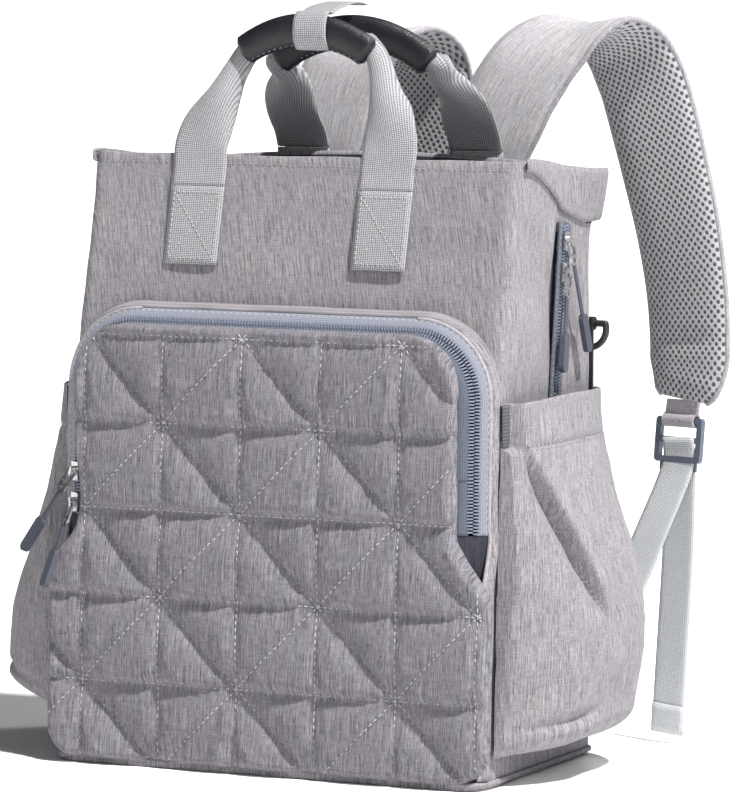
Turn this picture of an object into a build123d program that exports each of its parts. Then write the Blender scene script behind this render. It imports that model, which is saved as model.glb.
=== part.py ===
"""Diaper backpack in millimetres, +Z up, +X to the right, the front faces -Y.

The origin is on the floor, under the middle of the bag. A fabric box with an open mouth carries a quilted
zip pocket in front, a bulging pocket on each side, two carrying handles over the mouth and two padded
shoulder straps behind. Each sub-part is written to parts/NODE.step.
"""

import math
import os

from build123d import *

# ---- the box -------------------------------------------------------------------------------------
BODY_W = 305.0  # outside width
BACK_Y = 83.5  # outside of the back wall
FOOT_Y = -80.0  # outside of the front wall at the floor
KNEE_Y, KNEE_Z = -66.0, 246.0  # where the front wall starts to lean back
RIM_Y, RIM_Z = -31.0, 391.0  # top edge of the front wall
BACK_RIM_Z = 389.0  # top edge of the back wall, at its middle
BACK_DROOP = 9.0  # how much lower the back wall's corners are
WALL_T = 4.0  # padded front and back walls
SIDE_T = 3.0  # side walls
SIDE_TOP_Z = 376.0
BASE_T = 4.0
BASE_FRONT_Y = -94.0  # the base reaches under the front pocket
BASE_CORNER_R = 16.0
BOARD_T = 1.5  # stiffener board in the base
LINING_T = 0.8
SEAM = 0.3  # gap kept between two soft pieces that lie on each other

# ---- front pocket --------------------------------------------------------------------------------
POCKET_Y0 = -90.0  # zip plane at the floor
POCKET_SLOPE = 0.03  # how much that plane leans back, per unit of height
FLAP_HALF_W = 132.0  # half width of the quilted flap, inside the zip
FLAP_TOP = 277.0
FLAP_R = 33.0  # radius of the flap's upper corners
FOLD_V = 150.0  # height of the line where the flap folds forward
QUILT_BACK, QUILT_FRONT = 2.0, 6.0  # quilt thickness behind and in front of the zip plane
COVER_HALF_W = 149.0  # half width of the fixed quilted cover
COVER_FOOT = 3.0
COVER_CORNER = 26.0  # cut off its lower corners
NECK_V = 112.0  # above this height the cover narrows towards the flap
ZIP_END_V = 160.0  # lower ends of the pocket zip
ZIP_SPLIT_V = 194.0  # below this height the inner zip half stays on the bag
ZIP_TILT = 35.0  # the zip band is turned this far out of the front plane
GUSSET_T = 2.0

# ---- zips ----------------------------------------------------------------------------------------
TAPE_T = 1.2
TAPE_GAP = 0.8  # from the flap's edge to the tape
TAPE_IN_W = 7.5
COIL_W, COIL_T = 2.4, 2.6
COIL_GAP = 1.2
TAPE_OUT_W = 7.5
SLIDER_L, SLIDER_W, PLATE_T = 12.0, 9.0, 1.2
SLIDER_GAP = 0.3  # running clearance of a slider round its coil
POST_W, POST_L = 0.7, 5.0
BAIL_W, BAIL_L, BAIL_H, BAIL_CROWN = 2.2, 6.0, 3.4, 0.9  # crown: metal over the pin
PIN_R, PIN_CLEARANCE = 0.7, 0.08
TAB_W, TAB_L, TAB_T = 9.0, 17.0, 1.4
TAB_ARM_W = 1.5
CORD_R, CORD_SPREAD, CORD_GAP = 0.8, 1.9, 0.2
GRIP_W, GRIP_L, GRIP_T = 8.0, 26.0, 3.4
# name, place along its zip, turn of its pull in the zip's plane, lift off it, cord length
FRONT_SLIDERS = (("front_upper", 187.5, -24.0, 22.0, 20.0), ("front_lower", 167.5, 4.0, 22.0, 16.0))
SIDE_SLIDERS = (("side_upper", 113.0, 26.0, 2.0, 34.0), ("side_lower", 93.0, -4.0, 2.0, 22.0))

# ---- side zip and top closure --------------------------------------------------------------------
SIDE_ZIP_FOOT = (18.0, 226.0)  # y, z of the lower end
SIDE_ZIP_TOP = (35.0, 350.0)
SIDE_ZIP_SLOT = 12.0
SIDE_TAPE_REACH = 9.0  # half width over both side tapes
CLOSURE_Z = 351.0  # the zip flanges lie this high, below the rims
CLOSURE_T = 1.2
CLOSURE_Y = 27.0  # where the two flanges meet
CLOSURE_HALF_W = 145.0
BAND_T, BAND_H = 1.6, 30.0  # folded fabric at the top of each side

# ---- side pockets --------------------------------------------------------------------------------
SIDE_POCKET_Y = (-76.0, 82.0)
SIDE_POCKET_T = 1.8
SIDE_POCKET_TOP = 240.0
# height and bulge at each step from foot to hem; the left pocket hangs fuller and starts higher
RIGHT_POCKET_STEPS = ((8.0, 36.0), (42.0, 56.0), (120.0, 58.0), (214.0, 40.0), (SIDE_POCKET_TOP, 22.0))
LEFT_POCKET_STEPS = ((26.0, 50.0), (50.0, 74.0), (120.0, 66.0), (214.0, 34.0), (SIDE_POCKET_TOP, 20.0))
POCKET_HEADROOM = 20.0  # how far the hollow is cut past a side pocket's hem
ELASTIC_H, ELASTIC_L, ELASTIC_T = 6.0, 22.0, 1.4
ELASTIC_GAP = 0.2  # off the side wall's skin

# ---- handles -------------------------------------------------------------------------------------
WEB_W, WEB_T = 38.0, 1.6
FRONT_HANDLE_X, REAR_HANDLE_X = -7.0, 5.0
FRONT_LEG_X, REAR_LEG_X = 67.0, 63.0  # from the handle's middle
PATCH_FOOT_Z, PATCH_TOP_Z = 322.0, 371.0
REAR_PATCH_GAP = 1.0  # from the back pad to the rear patches
GRIP_CORE = (17.0, 5.0)  # folded webbing inside a grip: height, depth
GRIP_SHELL = (21.0, 11.0)  # leather tube over it
GRIP_CLEARANCE = 0.2
GRIP_BARE, LEG_SINK = 11.0, 2.0  # core left bare at each end, and how deep a leg runs into it
HANDLE_GAP = 0.6  # between a handle and its patches
FRONT_GRIP = {"y": -15.0, "half": 48.5, "end_z": 455.0, "top_z": 472.0}
REAR_GRIP = {"y": 30.0, "half": 58.0, "end_z": 447.0, "top_z": 470.0}
WRAP_W, WRAP_T = 21.0, 1.5
WRAP_REACH_Y = 40.0  # the wrap's tail ends over the rear grip

# ---- back and shoulder straps --------------------------------------------------------------------
BACK_PAD = (130.0, 48.0, 340.0, 9.0)  # half width, bottom, top, thickness
STRAP_W, STRAP_T = 58.0, 12.0
YOKE_T, YOKE_GAP = 3.0, 6.0  # fabric behind the strap ends, and space above the back pad
STRAP_ROOT_T = 3.0  # where it is sewn flat, and at its fold
FOLD_GAP = 0.9  # between the two parts of a strap
ROOT_GAP = 0.6  # from the yoke to a strap
STRAP_WEB_W, STRAP_WEB_T = 25.0, 1.6
# centre lines, from the seam on the bag to the lower tip; the strap folds over at point FOLD_AT
STRAP_RIGHT = (
    (69, 93, 373), (70, 93, 380), (76, 95, 402), (88, 100, 430), (103, 108, 453), (120, 121, 467),
    (136, 135, 468), (148, 146, 456), (157, 151, 437), (164, 152, 415), (174, 151, 380), (184, 150, 340),
    (191, 150, 295), (193, 149, 252), (190, 147, 228),
)
STRAP_LEFT = (
    (-48, 93, 373), (-48, 93, 380), (-46, 95, 402), (-41, 100, 428), (-33, 108, 449), (-21, 121, 461),
    (-8, 135, 461), (1, 146, 450), (4, 151, 432), (3, 152, 410), (-4, 151, 374), (-14, 150, 334),
    (-26, 150, 292), (-37, 149, 254), (-42, 147, 230),
)
FOLD_AT = 7
LOOP_L = 14.0  # from the pad's tip to the buckle's bar
BUCKLE_W, BUCKLE_H, BUCKLE_T, BUCKLE_BAR = 37.0, 30.0, 4.0, 4.0
LOOP_CLEARANCE = 0.27  # round the buckle's upper bar
WEB_CLEARANCE = 0.5  # between the webbing and the buckle
BUCKLE_LEAN, BUCKLE_LIP = 0.12, 5.5
TAIL_END_Z = 6.0
STRAP_TAPER = 12.0
LOWER_TAB_T, LOWER_TAB_FOOT = 3.0, 12.0  # fabric triangles at the lower back corners
ANCHOR_RIGHT, ANCHOR_LEFT = (134.0, 88.8, 32.0), (-134.0, 88.8, 32.0)  # lower ends of the webbing
RING_Z, RING_HALF_W, RING_WIRE_R = 281.0, 12.0, 2.2
RING_DROP = 4.0  # how much deeper than half its width a ring is
RING_INSET = 6.0  # from the side of the bag to a ring's middle
RING_TAB_W, RING_TAB_T, RING_TAB_GAP = 10.0, 2.4, 0.1
RING_TAB_FOOT, RING_TAB_TOP = 52.0, 4.0  # below and above the ring
RING_EYE_L, RING_EYE_R, RING_EYE_CLEARANCE = 9.0, 2.2, 0.4

ZIP_W = TAPE_IN_W + 2 * COIL_W + COIL_GAP + TAPE_OUT_W
HALF_W = BODY_W / 2
SLOPE_ANGLE = math.atan(POCKET_SLOPE)
TILT = math.radians(ZIP_TILT)
X_DIR = Vector(1, 0, 0)
UP = Vector(0, math.sin(SLOPE_ANGLE), math.cos(SLOPE_ANGLE))  # up, along the pocket's front
OUT = Vector(0, -math.cos(SLOPE_ANGLE), math.sin(SLOPE_ANGLE))  # out of the pocket's front
POCKET_PLANE = Plane(origin=(0, POCKET_Y0, 0), x_dir=X_DIR, z_dir=OUT)
PIN_HEIGHT = COIL_T / 2 + SLIDER_GAP + PLATE_T + BAIL_H - PIN_R - PIN_CLEARANCE - BAIL_CROWN
ZIP_CENTRE = TAPE_IN_W + COIL_W + COIL_GAP / 2


def block(x, y, z):
    """A box from three (low, high) pairs."""
    size = [b - a for a, b in (x, y, z)]
    return Pos(*[(a + b) / 2 for a, b in (x, y, z)]) * Box(*size)


def prism_x(points, x0, x1):
    """A (y, z) polygon extruded along X."""
    plane = Plane(origin=(x0, 0, 0), x_dir=(0, 1, 0), z_dir=(1, 0, 0))
    return extrude(plane * make_face(Polyline(*points, close=True)), x1 - x0)


def front_y(z, inset=0.0):
    """y of the front wall at a height, moved inwards by inset."""
    if z < KNEE_Z:
        share = z / KNEE_Z
        return FOOT_Y + (KNEE_Y - FOOT_Y) * share + inset
    share = (z - KNEE_Z) / (RIM_Z - KNEE_Z)
    return KNEE_Y + (RIM_Y - KNEE_Y) * share + inset


def pocket_point(x, v, n=0.0):
    """A point given across, up and out of the pocket's front plane."""
    return Vector(x, POCKET_Y0, 0) + UP * v + OUT * n


def ribbon(points, width, thickness, across):
    """A strip that follows points. across gives its width direction at each point, or one for all."""
    points = [Vector(*p) for p in points]
    across = [Vector(*a) for a in across] if isinstance(across[0], tuple) else [Vector(*across)] * len(points)
    widths = width if isinstance(width, (list, tuple)) else [width] * len(points)
    depths = thickness if isinstance(thickness, (list, tuple)) else [thickness] * len(points)
    faces = []
    for i, (p, a, w, t) in enumerate(zip(points, across, widths, depths)):
        along = (points[min(i + 1, len(points) - 1)] - points[max(i - 1, 0)]).normalized()
        side = a.normalized()
        normal = (along - side * along.dot(side)).normalized()
        faces.append(Plane(origin=p, x_dir=side, z_dir=normal) * Rectangle(w, t))
    return loft(faces, ruled=True)


def mirrored(shape):
    return mirror(shape, about=Plane.YZ)


# ---- box -----------------------------------------------------------------------------------------
def base_panel():
    centre = (BASE_FRONT_Y + BACK_Y) / 2
    slab = Pos(0, centre, 0) * RectangleRounded(BODY_W, BACK_Y - BASE_FRONT_Y, BASE_CORNER_R)
    return extrude(slab, BASE_T)


def base_board():
    side = HALF_W - SIDE_T - 2
    return block((-side, side), (FOOT_Y + WALL_T + 2, BACK_Y - WALL_T - 2), (BASE_T, BASE_T + BOARD_T))


def front_wall():
    outer = [(front_y(z), z) for z in (BASE_T, KNEE_Z, RIM_Z)]
    inner = [(front_y(z, WALL_T), z) for z in (RIM_Z, KNEE_Z, BASE_T)]
    return prism_x(outer + inner, -HALF_W, HALF_W)


def back_wall():
    top = BACK_RIM_Z - BACK_DROOP
    face = make_face(
        [
            Line((-HALF_W, BASE_T), (HALF_W, BASE_T)),
            Line((HALF_W, BASE_T), (HALF_W, top)),
            ThreePointArc((HALF_W, top), (0, BACK_RIM_Z), (-HALF_W, top)),
            Line((-HALF_W, top), (-HALF_W, BASE_T)),
        ]
    )
    plane = Plane(origin=(0, BACK_Y, 0), x_dir=(1, 0, 0), z_dir=(0, -1, 0))
    return extrude(plane * face, WALL_T)


def side_zip_plane():
    """x across the zip towards the back, y up along it, z out of the right side wall."""
    run = Vector(0, SIDE_ZIP_TOP[0] - SIDE_ZIP_FOOT[0], SIDE_ZIP_TOP[1] - SIDE_ZIP_FOOT[1])
    up = run.normalized()
    origin = (HALF_W + TAPE_T / 2, *SIDE_ZIP_FOOT)
    return Plane(origin=origin, x_dir=up.cross(X_DIR), z_dir=X_DIR), run.length


def side_wall():
    inner = WALL_T
    outline = [
        (front_y(BASE_T, inner), BASE_T),
        (front_y(KNEE_Z, inner), KNEE_Z),
        (front_y(SIDE_TOP_Z, inner), SIDE_TOP_Z),
        (BACK_Y - inner, SIDE_TOP_Z),
        (BACK_Y - inner, BASE_T),
    ]
    wall = prism_x(outline, HALF_W - SIDE_T, HALF_W)
    plane, length = side_zip_plane()
    over = 60.0  # past the wall's top
    slot = plane * Pos(0, (length + over) / 2, 0) * Box(SIDE_ZIP_SLOT, length + over, 3 * SIDE_T)
    return wall - slot


def lining():
    def shell(inset, foot):
        outline = [
            (front_y(foot, WALL_T + inset), foot),
            (front_y(KNEE_Z, WALL_T + inset), KNEE_Z),
            (front_y(top, WALL_T + inset), top),
            (BACK_Y - WALL_T - inset, top),
            (BACK_Y - WALL_T - inset, foot),
        ]
        side = HALF_W - SIDE_T - inset
        return prism_x(outline, -side, side)

    floor = BASE_T + BOARD_T + SEAM
    top = CLOSURE_Z - CLOSURE_T
    outer = shell(SEAM, floor)
    top += 10  # the hollow runs out of the top
    return outer - shell(SEAM + LINING_T, floor + LINING_T)


def rim_bands():
    """The folded fabric that closes the top of each side, outside the side wall."""
    x0 = HALF_W + SEAM
    band = prism_x(
        [
            (front_y(SIDE_TOP_Z, 1), SIDE_TOP_Z),
            (front_y(SIDE_TOP_Z, 1), SIDE_TOP_Z - BAND_H / 3),
            (BACK_Y, SIDE_TOP_Z - BAND_H),
            (BACK_Y, SIDE_TOP_Z),
        ],
        x0,
        x0 + BAND_T,
    )
    return [band, mirrored(band)]


def back_pad():
    half, low, high, thick = BACK_PAD
    face = Pos(0, (low + high) / 2) * RectangleRounded(2 * half, high - low, 24)
    plane = Plane(origin=(0, BACK_Y + SEAM, 0), x_dir=(-1, 0, 0), z_dir=(0, 1, 0))
    return extrude(plane * face, thick)


# ---- front pocket --------------------------------------------------------------------------------
def zip_path(inset=0.0):
    """The U that the pocket zip follows: the edge of the flap, moved inwards by inset."""
    half, top, r = FLAP_HALF_W - inset, FLAP_TOP - inset, FLAP_R
    low = top - r
    k = r * (1 - math.sqrt(0.5))
    edges = [
        Line((half, ZIP_END_V), (half, low)),
        ThreePointArc((half, low), (half - k, top - k), (half - r, top)),
        Line((half - r, top), (r - half, top)),
        ThreePointArc((r - half, top), (k - half, top - k), (-half, low)),
        Line((-half, low), (-half, ZIP_END_V)),
    ]
    return POCKET_PLANE * Wire(edges)


def band_strip(start, end, thick):
    """A strip of the zip band, from start to end across it, swept round the flap."""
    along = Vector(math.cos(TILT), math.sin(TILT))  # outwards, and into the bag
    through = Vector(-math.sin(TILT), math.cos(TILT))
    half = thick / 2
    corners = [along * a + through * b for a, b in ((start, -half), (end, -half), (end, half), (start, half))]
    plane = Plane(origin=pocket_point(FLAP_HALF_W, ZIP_END_V), x_dir=X_DIR, z_dir=UP)
    section = plane * make_face(Polyline(*[(c.X, c.Y) for c in corners], close=True))
    return sweep(section, path=zip_path(), transition=Transition.RIGHT)


def above_split(shape, keep_top):
    """The part of shape above or below the line where the inner zip half passes to the flap."""
    v0, v1 = (ZIP_SPLIT_V + SEAM, 400.0) if keep_top else (0.0, ZIP_SPLIT_V)
    cutter = POCKET_PLANE * Pos(0, (v0 + v1) / 2, 0) * Box(400, v1 - v0, 80)
    return shape & cutter


def inner_tape():
    return band_strip(TAPE_GAP, TAPE_IN_W, TAPE_T)


def inner_coil():
    return band_strip(TAPE_IN_W, TAPE_IN_W + COIL_W, COIL_T)


def outer_coil():
    start = TAPE_IN_W + COIL_W + COIL_GAP
    return band_strip(start, start + COIL_W, COIL_T)


def outer_tape():
    return band_strip(ZIP_W - TAPE_OUT_W, ZIP_W, TAPE_T)


def quilt(outline):
    """A padded panel of that outline, either side of the zip plane."""
    face = POCKET_PLANE.offset(-QUILT_BACK) * outline
    return extrude(face, QUILT_BACK + QUILT_FRONT)


def pocket_flap():
    half, top, r = FLAP_HALF_W, FLAP_TOP, FLAP_R
    k = r * (1 - math.sqrt(0.5))
    low = FOLD_V + SEAM
    return quilt(
        make_face(
            [
                Line((-half, low), (half, low)),
                Line((half, low), (half, top - r)),
                ThreePointArc((half, top - r), (half - k, top - k), (half - r, top)),
                Line((half - r, top), (r - half, top)),
                ThreePointArc((r - half, top), (k - half, top - k), (-half, top - r)),
                Line((-half, top - r), (-half, low)),
            ]
        )
    )


def pocket_lower_cover():
    corner = COVER_CORNER
    points = [(corner - COVER_HALF_W, COVER_FOOT), (COVER_HALF_W - corner, COVER_FOOT)]
    points += [(COVER_HALF_W, COVER_FOOT + corner), (COVER_HALF_W, NECK_V), (FLAP_HALF_W, FOLD_V)]
    points += [(-FLAP_HALF_W, FOLD_V), (-COVER_HALF_W, NECK_V), (-COVER_HALF_W, COVER_FOOT + corner)]
    cover = quilt(make_face(Polyline(*points, close=True)))
    return cover - block((-400, 400), (-400, 400), (-50, BASE_T))


def behind_front_wall():
    """Everything behind the front wall's outer face, to cut pieces back to it."""
    points = [(front_y(z), z) for z in (0, KNEE_Z, RIM_Z)]
    return prism_x(points + [(BACK_Y, RIM_Z), (BACK_Y, 0)], -400, 400)


def pocket_gusset():
    """The strip that joins the pocket's front to the front wall, up one side, over the top and down."""
    grow = ZIP_W * math.cos(TILT)
    edge = FLAP_HALF_W + grow
    top = FLAP_TOP + grow
    foot = BASE_T / math.cos(SLOPE_ANGLE) + 1

    def outline(inset):
        half, high, r = edge - inset, top - inset, FLAP_R + grow - inset
        k = r * (1 - math.sqrt(0.5))
        low = foot - inset
        return make_face(
            [
                Line((-half, low), (half, low)),
                Line((half, low), (half, high - r)),
                ThreePointArc((half, high - r), (half - k, high - k), (half - r, high)),
                Line((half - r, high), (r - half, high)),
                ThreePointArc((r - half, high), (k - half, high - k), (-half, high - r)),
                Line((-half, high - r), (-half, low)),
            ]
        )

    back = ZIP_W * math.sin(TILT) + TAPE_T  # behind the zip band's outer edge
    plane = POCKET_PLANE.offset(-back)
    ring = extrude(plane * outline(0) - plane * outline(GUSSET_T), -60)
    lower = POCKET_PLANE.offset(-QUILT_BACK - SEAM)
    ring += extrude(lower * outline(0) - lower * outline(GUSSET_T), -back + QUILT_BACK + SEAM) & (
        block((-400, 400), (-400, 400), (0, NECK_V))
    )
    return ring - behind_front_wall() - block((-400, 400), (-400, 400), (-50, BASE_T))


def pocket_bellows():
    """The dark triangles between the zip's lower ends and the quilted cover."""
    across = Vector(math.cos(TILT), 0, 0) - OUT * math.sin(TILT)
    normal = OUT * math.cos(TILT) + X_DIR * math.sin(TILT)
    plane = Plane(origin=pocket_point(FLAP_HALF_W, 0), x_dir=across, z_dir=normal)
    gap = 4.0 * SEAM
    steep = (COVER_HALF_W - FLAP_HALF_W) / (FOLD_V - NECK_V)
    low_v = NECK_V + 4.0
    reach = (FOLD_V - low_v) * steep / math.cos(TILT)
    points = [(gap, ZIP_END_V - SEAM), (ZIP_W, ZIP_END_V - SEAM), (ZIP_W, low_v)]
    points += [(min(reach, ZIP_W - 1) + gap, low_v), (gap, FOLD_V)]
    face = plane.offset(-TAPE_T / 2) * make_face(Polyline(*points, close=True))
    piece = extrude(face, TAPE_T) - pocket_lower_cover()
    return [piece, mirrored(piece)]


def front_zip_ends():
    """The lower ends of the inner zip half, which stay on the bag."""
    return above_split(inner_tape(), False).solids() + above_split(inner_coil(), False).solids()


# ---- sliders and pulls ---------------------------------------------------------------------------
def slider(plane, turn):
    """A slider round the coil. plane: x across the zip, y along it, z out of it. Its bail is turned."""
    inner = COIL_T / 2 + SLIDER_GAP
    body = Box(SLIDER_W, SLIDER_L, PLATE_T)
    shape = Pos(0, 0, inner + PLATE_T / 2) * body + Pos(0, 0, -inner - PLATE_T / 2) * body
    shape += Box(POST_W, POST_L, 2 * inner)
    bail = Pos(0, 0, inner + PLATE_T + BAIL_H / 2) * Box(BAIL_W, BAIL_L, BAIL_H)
    pin_hole = Pos(0, 0, PIN_HEIGHT) * Rot(0, 90, 0) * Cylinder(PIN_R + PIN_CLEARANCE, 3 * BAIL_W)
    return plane * (shape + Rot(0, 0, turn) * (bail - pin_hole))


def pull_plane(plane, turn, lift):
    """Frame of a pull: x along its pin, y up it, z out of it. lift raises it off the zip."""
    return plane * Pos(0, 0, PIN_HEIGHT) * Rot(0, 0, turn) * Rot(-lift, 0, 0)


def pull_tab():
    """The metal tab on a slider: a pin through the bail, two arms and a rounded plate with a cord hole."""
    pin = Rot(0, 90, 0) * Cylinder(PIN_R, TAB_W - TAB_ARM_W)
    arm_x = (TAB_W - TAB_ARM_W) / 2
    arm_l = TAB_L * 0.6
    arms = [Pos(x, PIN_R - arm_l / 2, 0) * Box(TAB_ARM_W, arm_l, TAB_T) for x in (-arm_x, arm_x)]
    foot = PIN_R - TAB_L
    plate = make_face(
        [
            Line((-TAB_W / 2, PIN_R - arm_l), (TAB_W / 2, PIN_R - arm_l)),
            Line((TAB_W / 2, PIN_R - arm_l), (TAB_W / 2, foot + 3)),
            ThreePointArc((TAB_W / 2, foot + 3), (0, foot), (-TAB_W / 2, foot + 3)),
            Line((-TAB_W / 2, foot + 3), (-TAB_W / 2, PIN_R - arm_l)),
        ]
    )
    plate = extrude(Pos(0, 0, -TAB_T / 2) * plate, TAB_T)
    hole = Pos(0, foot + 3.4, 0) * Cylinder(CORD_SPREAD, 3 * TAB_T)
    return pin + arms[0] + arms[1] + (plate - hole)


def pull(length):
    """The cord under a tab and its moulded grip, as two solids."""
    top = PIN_R - TAB_L - CORD_GAP
    leg_x = CORD_R + 0.2
    legs = [Pos(x, top - length / 2, 0) * Rot(90, 0, 0) * Cylinder(CORD_R, length) for x in (-leg_x, leg_x)]
    bridge = Pos(0, top - CORD_R, 0) * Rot(0, 90, 0) * Cylinder(CORD_R, 2 * leg_x)
    grip = extrude(SlotOverall(GRIP_L, GRIP_W, rotation=90), GRIP_T)
    return [legs[0] + legs[1] + bridge, Pos(0, top - length - GRIP_L / 2, -GRIP_T / 2) * grip]


def front_slider_plane(v):
    """Frame of a slider on the pocket zip's left leg, at height v."""
    outwards = X_DIR * -math.cos(TILT) - OUT * math.sin(TILT)
    normal = OUT * math.cos(TILT) - X_DIR * math.sin(TILT)
    origin = pocket_point(-FLAP_HALF_W, v) + outwards * ZIP_CENTRE
    return Plane(origin=origin, x_dir=outwards * -1, z_dir=normal)


def side_slider_plane(s):
    """Frame of a slider on the right side zip, s above its lower end."""
    plane, _ = side_zip_plane()
    return Plane(origin=plane.origin + plane.y_dir * s, x_dir=plane.x_dir, z_dir=plane.z_dir)


def pulls():
    """Name, slider frame, turn, lift and cord length of each slider with its pull."""
    rows = [(name, front_slider_plane(v), *rest) for name, v, *rest in FRONT_SLIDERS]
    return rows + [(name, side_slider_plane(v), *rest) for name, v, *rest in SIDE_SLIDERS]


# ---- side zip, closure ---------------------------------------------------------------------------
def side_zip_strips(x0, x1, thick):
    plane, length = side_zip_plane()
    strips = [
        plane * Pos((a + b) / 2, length / 2, 0) * Box(abs(b - a), length, thick)
        for a, b in ((x0, x1), (-x1, -x0))
    ]
    return strips + [mirrored(s) for s in strips]


def side_zip_tapes():
    return side_zip_strips(COIL_GAP / 2 + COIL_W, SIDE_TAPE_REACH, TAPE_T)


def side_zip_coils():
    return side_zip_strips(COIL_GAP / 2, COIL_GAP / 2 + COIL_W, COIL_T)


def top_closure(front):
    """One zip flange across the mouth, with its half of the coil."""
    z = (CLOSURE_Z - CLOSURE_T, CLOSURE_Z)
    x = (-CLOSURE_HALF_W, CLOSURE_HALF_W)
    coil_z = (CLOSURE_Z - CLOSURE_T / 2 - COIL_T / 2, CLOSURE_Z - CLOSURE_T / 2 + COIL_T / 2)
    if front:
        edge = CLOSURE_Y - COIL_GAP / 2 - COIL_W
        start = closure_axis(True)[1]
        return [block(x, (start, edge), z), block(x, (edge, edge + COIL_W), coil_z)]
    edge = CLOSURE_Y + COIL_GAP / 2 + COIL_W
    start = closure_axis(False)[1]
    return [block(x, (edge, start), z), block(x, (edge - COIL_W, edge), coil_z)]


def closure_axis(front):
    """Where a flange folds down: a line along X, at its seam on the lining."""
    z = CLOSURE_Z - CLOSURE_T
    clear = SEAM + LINING_T + 0.5
    y = front_y(z, WALL_T + clear) if front else BACK_Y - WALL_T - clear
    return (0.0, y, z)


# ---- side pockets --------------------------------------------------------------------------------
def pocket_section(z, bulge, inset):
    y0, y1 = SIDE_POCKET_Y[0] + inset, SIDE_POCKET_Y[1] - inset
    x0 = HALF_W + SEAM - (1.0 if inset else 0.0)
    reach = HALF_W + SEAM + bulge - inset
    mid = (y0 + y1) / 2
    return Pos(0, 0, z) * make_face([ThreePointArc((x0, y0), (reach, mid), (x0, y1)), Line((x0, y1), (x0, y0))])


def side_pocket(steps):
    """The right side pocket: a bulging skin, open at the top, against the side wall."""
    outer = loft([pocket_section(z, b, 0) for z, b in steps], ruled=True)
    top_z, top_b = steps[-1]
    lift = [(steps[0][0] + SIDE_POCKET_T, steps[0][1]), *steps[1:], (top_z + POCKET_HEADROOM, top_b)]
    inner = loft([pocket_section(z, b, SIDE_POCKET_T) for z, b in lift], ruled=True)
    return outer - inner


def pocket_elastics():
    """The elastic that shows where a side pocket's hem meets the front edge of the side."""
    y0 = front_y(KNEE_Z) + WALL_T / 2
    foot = SIDE_POCKET_TOP + 5 * SEAM
    x0 = HALF_W + SEAM + ELASTIC_GAP
    piece = block((x0, x0 + ELASTIC_T), (y0, y0 + ELASTIC_L), (foot, foot + ELASTIC_H))
    return [piece, mirrored(piece)]


# ---- handles -------------------------------------------------------------------------------------
def front_patch(x):
    """A webbing end sewn flat on the leaning front wall."""
    low, high = PATCH_FOOT_Z, PATCH_TOP_Z
    gap = -0.05
    outline = [
        (front_y(low, gap), low),
        (front_y(high, gap), high),
        (front_y(high, gap - WEB_T), high),
        (front_y(low, gap - WEB_T), low),
    ]
    return prism_x(outline, x - WEB_W / 2, x + WEB_W / 2)


def handle_patches():
    patches = [front_patch(FRONT_HANDLE_X + side * FRONT_LEG_X) for side in (-1, 1)]
    for side in (-1, 1):
        x = REAR_HANDLE_X + side * REAR_LEG_X
        y = (BACK_Y, BACK_Y + WEB_T)
        patches.append(block((x - WEB_W / 2, x + WEB_W / 2), y, (BACK_PAD[2] + REAR_PATCH_GAP, rear_axis()[2])))
    return patches


def front_axis():
    """The line along X where the front handle leaves its patches."""
    return (0.0, front_y(PATCH_TOP_Z, -WEB_T), PATCH_TOP_Z)


def rear_axis():
    return (0.0, BACK_Y + WEB_T, BACK_RIM_Z + 2.0)


def grip_arc(grip, x0):
    """The grip's centre line, an arc in a plane of constant y."""
    half, low, top = grip["half"], grip["end_z"], grip["top_z"]
    plane = Plane(origin=(x0, grip["y"], 0), x_dir=(1, 0, 0), z_dir=(0, -1, 0))
    return plane * ThreePointArc((-half, low), (0, top), (half, low))


def grip_solid(arc, size):
    """A rounded bar along the grip's centre line. size: height, depth."""
    plane = Plane(origin=arc @ 0, x_dir=(0, 1, 0), z_dir=arc % 0)
    section = plane * SlotOverall(size[0], size[1], rotation=90)
    return sweep(section, path=arc)


def handle_webbing(grip, x0, leg_x, legs):
    """Two legs and the folded core inside the grip. legs: (y, z) points from the seam up to the grip."""
    shape = grip_solid(grip_arc(grip, x0), GRIP_CORE)
    arc = grip_arc(grip, x0)
    for side, end in ((-1, 0), (1, 1)):
        tip = arc @ end
        inwards = (arc % end) * (1 if end == 0 else -1)
        count = len(legs)
        points, widths = [], []
        for i, (y, z) in enumerate(legs):
            share = max(0, i - 1) / (count - 1)
            x = x0 + side * leg_x
            points.append((x + (tip.X - x) * share, y, z))
            widths.append(WEB_W + (GRIP_SHELL[0] - WEB_W) * share)
        last = tip + inwards * LEG_SINK
        points.append(tuple(last))
        widths.append(GRIP_CORE[0])
        thick = [WEB_T] * count + [GRIP_CORE[1]]
        shape += ribbon(points, widths, thick, (1.0, 0.0, 0.0))
    return shape


def front_handle_webbing():
    _, y0, z0 = front_axis()
    y0 -= HANDLE_GAP - WEB_T / 2
    lean = (RIM_Y - KNEE_Y) / (RIM_Z - KNEE_Z)
    over = RIM_Z + 8 - z0
    start = z0 + HANDLE_GAP
    legs = [(y0, start), (y0 + over * lean, z0 + over), (FRONT_GRIP["y"] - 6, FRONT_GRIP["end_z"] - 24)]
    return handle_webbing(FRONT_GRIP, FRONT_HANDLE_X, FRONT_LEG_X, legs)


def rear_handle_webbing():
    _, y0, z0 = rear_axis()
    y0 -= WEB_T / 2
    start = z0 + HANDLE_GAP
    legs = [(y0, start), (y0 - 8, z0 + 12), (REAR_GRIP["y"] + 22, REAR_GRIP["end_z"] - 16)]
    return handle_webbing(REAR_GRIP, REAR_HANDLE_X, REAR_LEG_X, legs)


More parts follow.
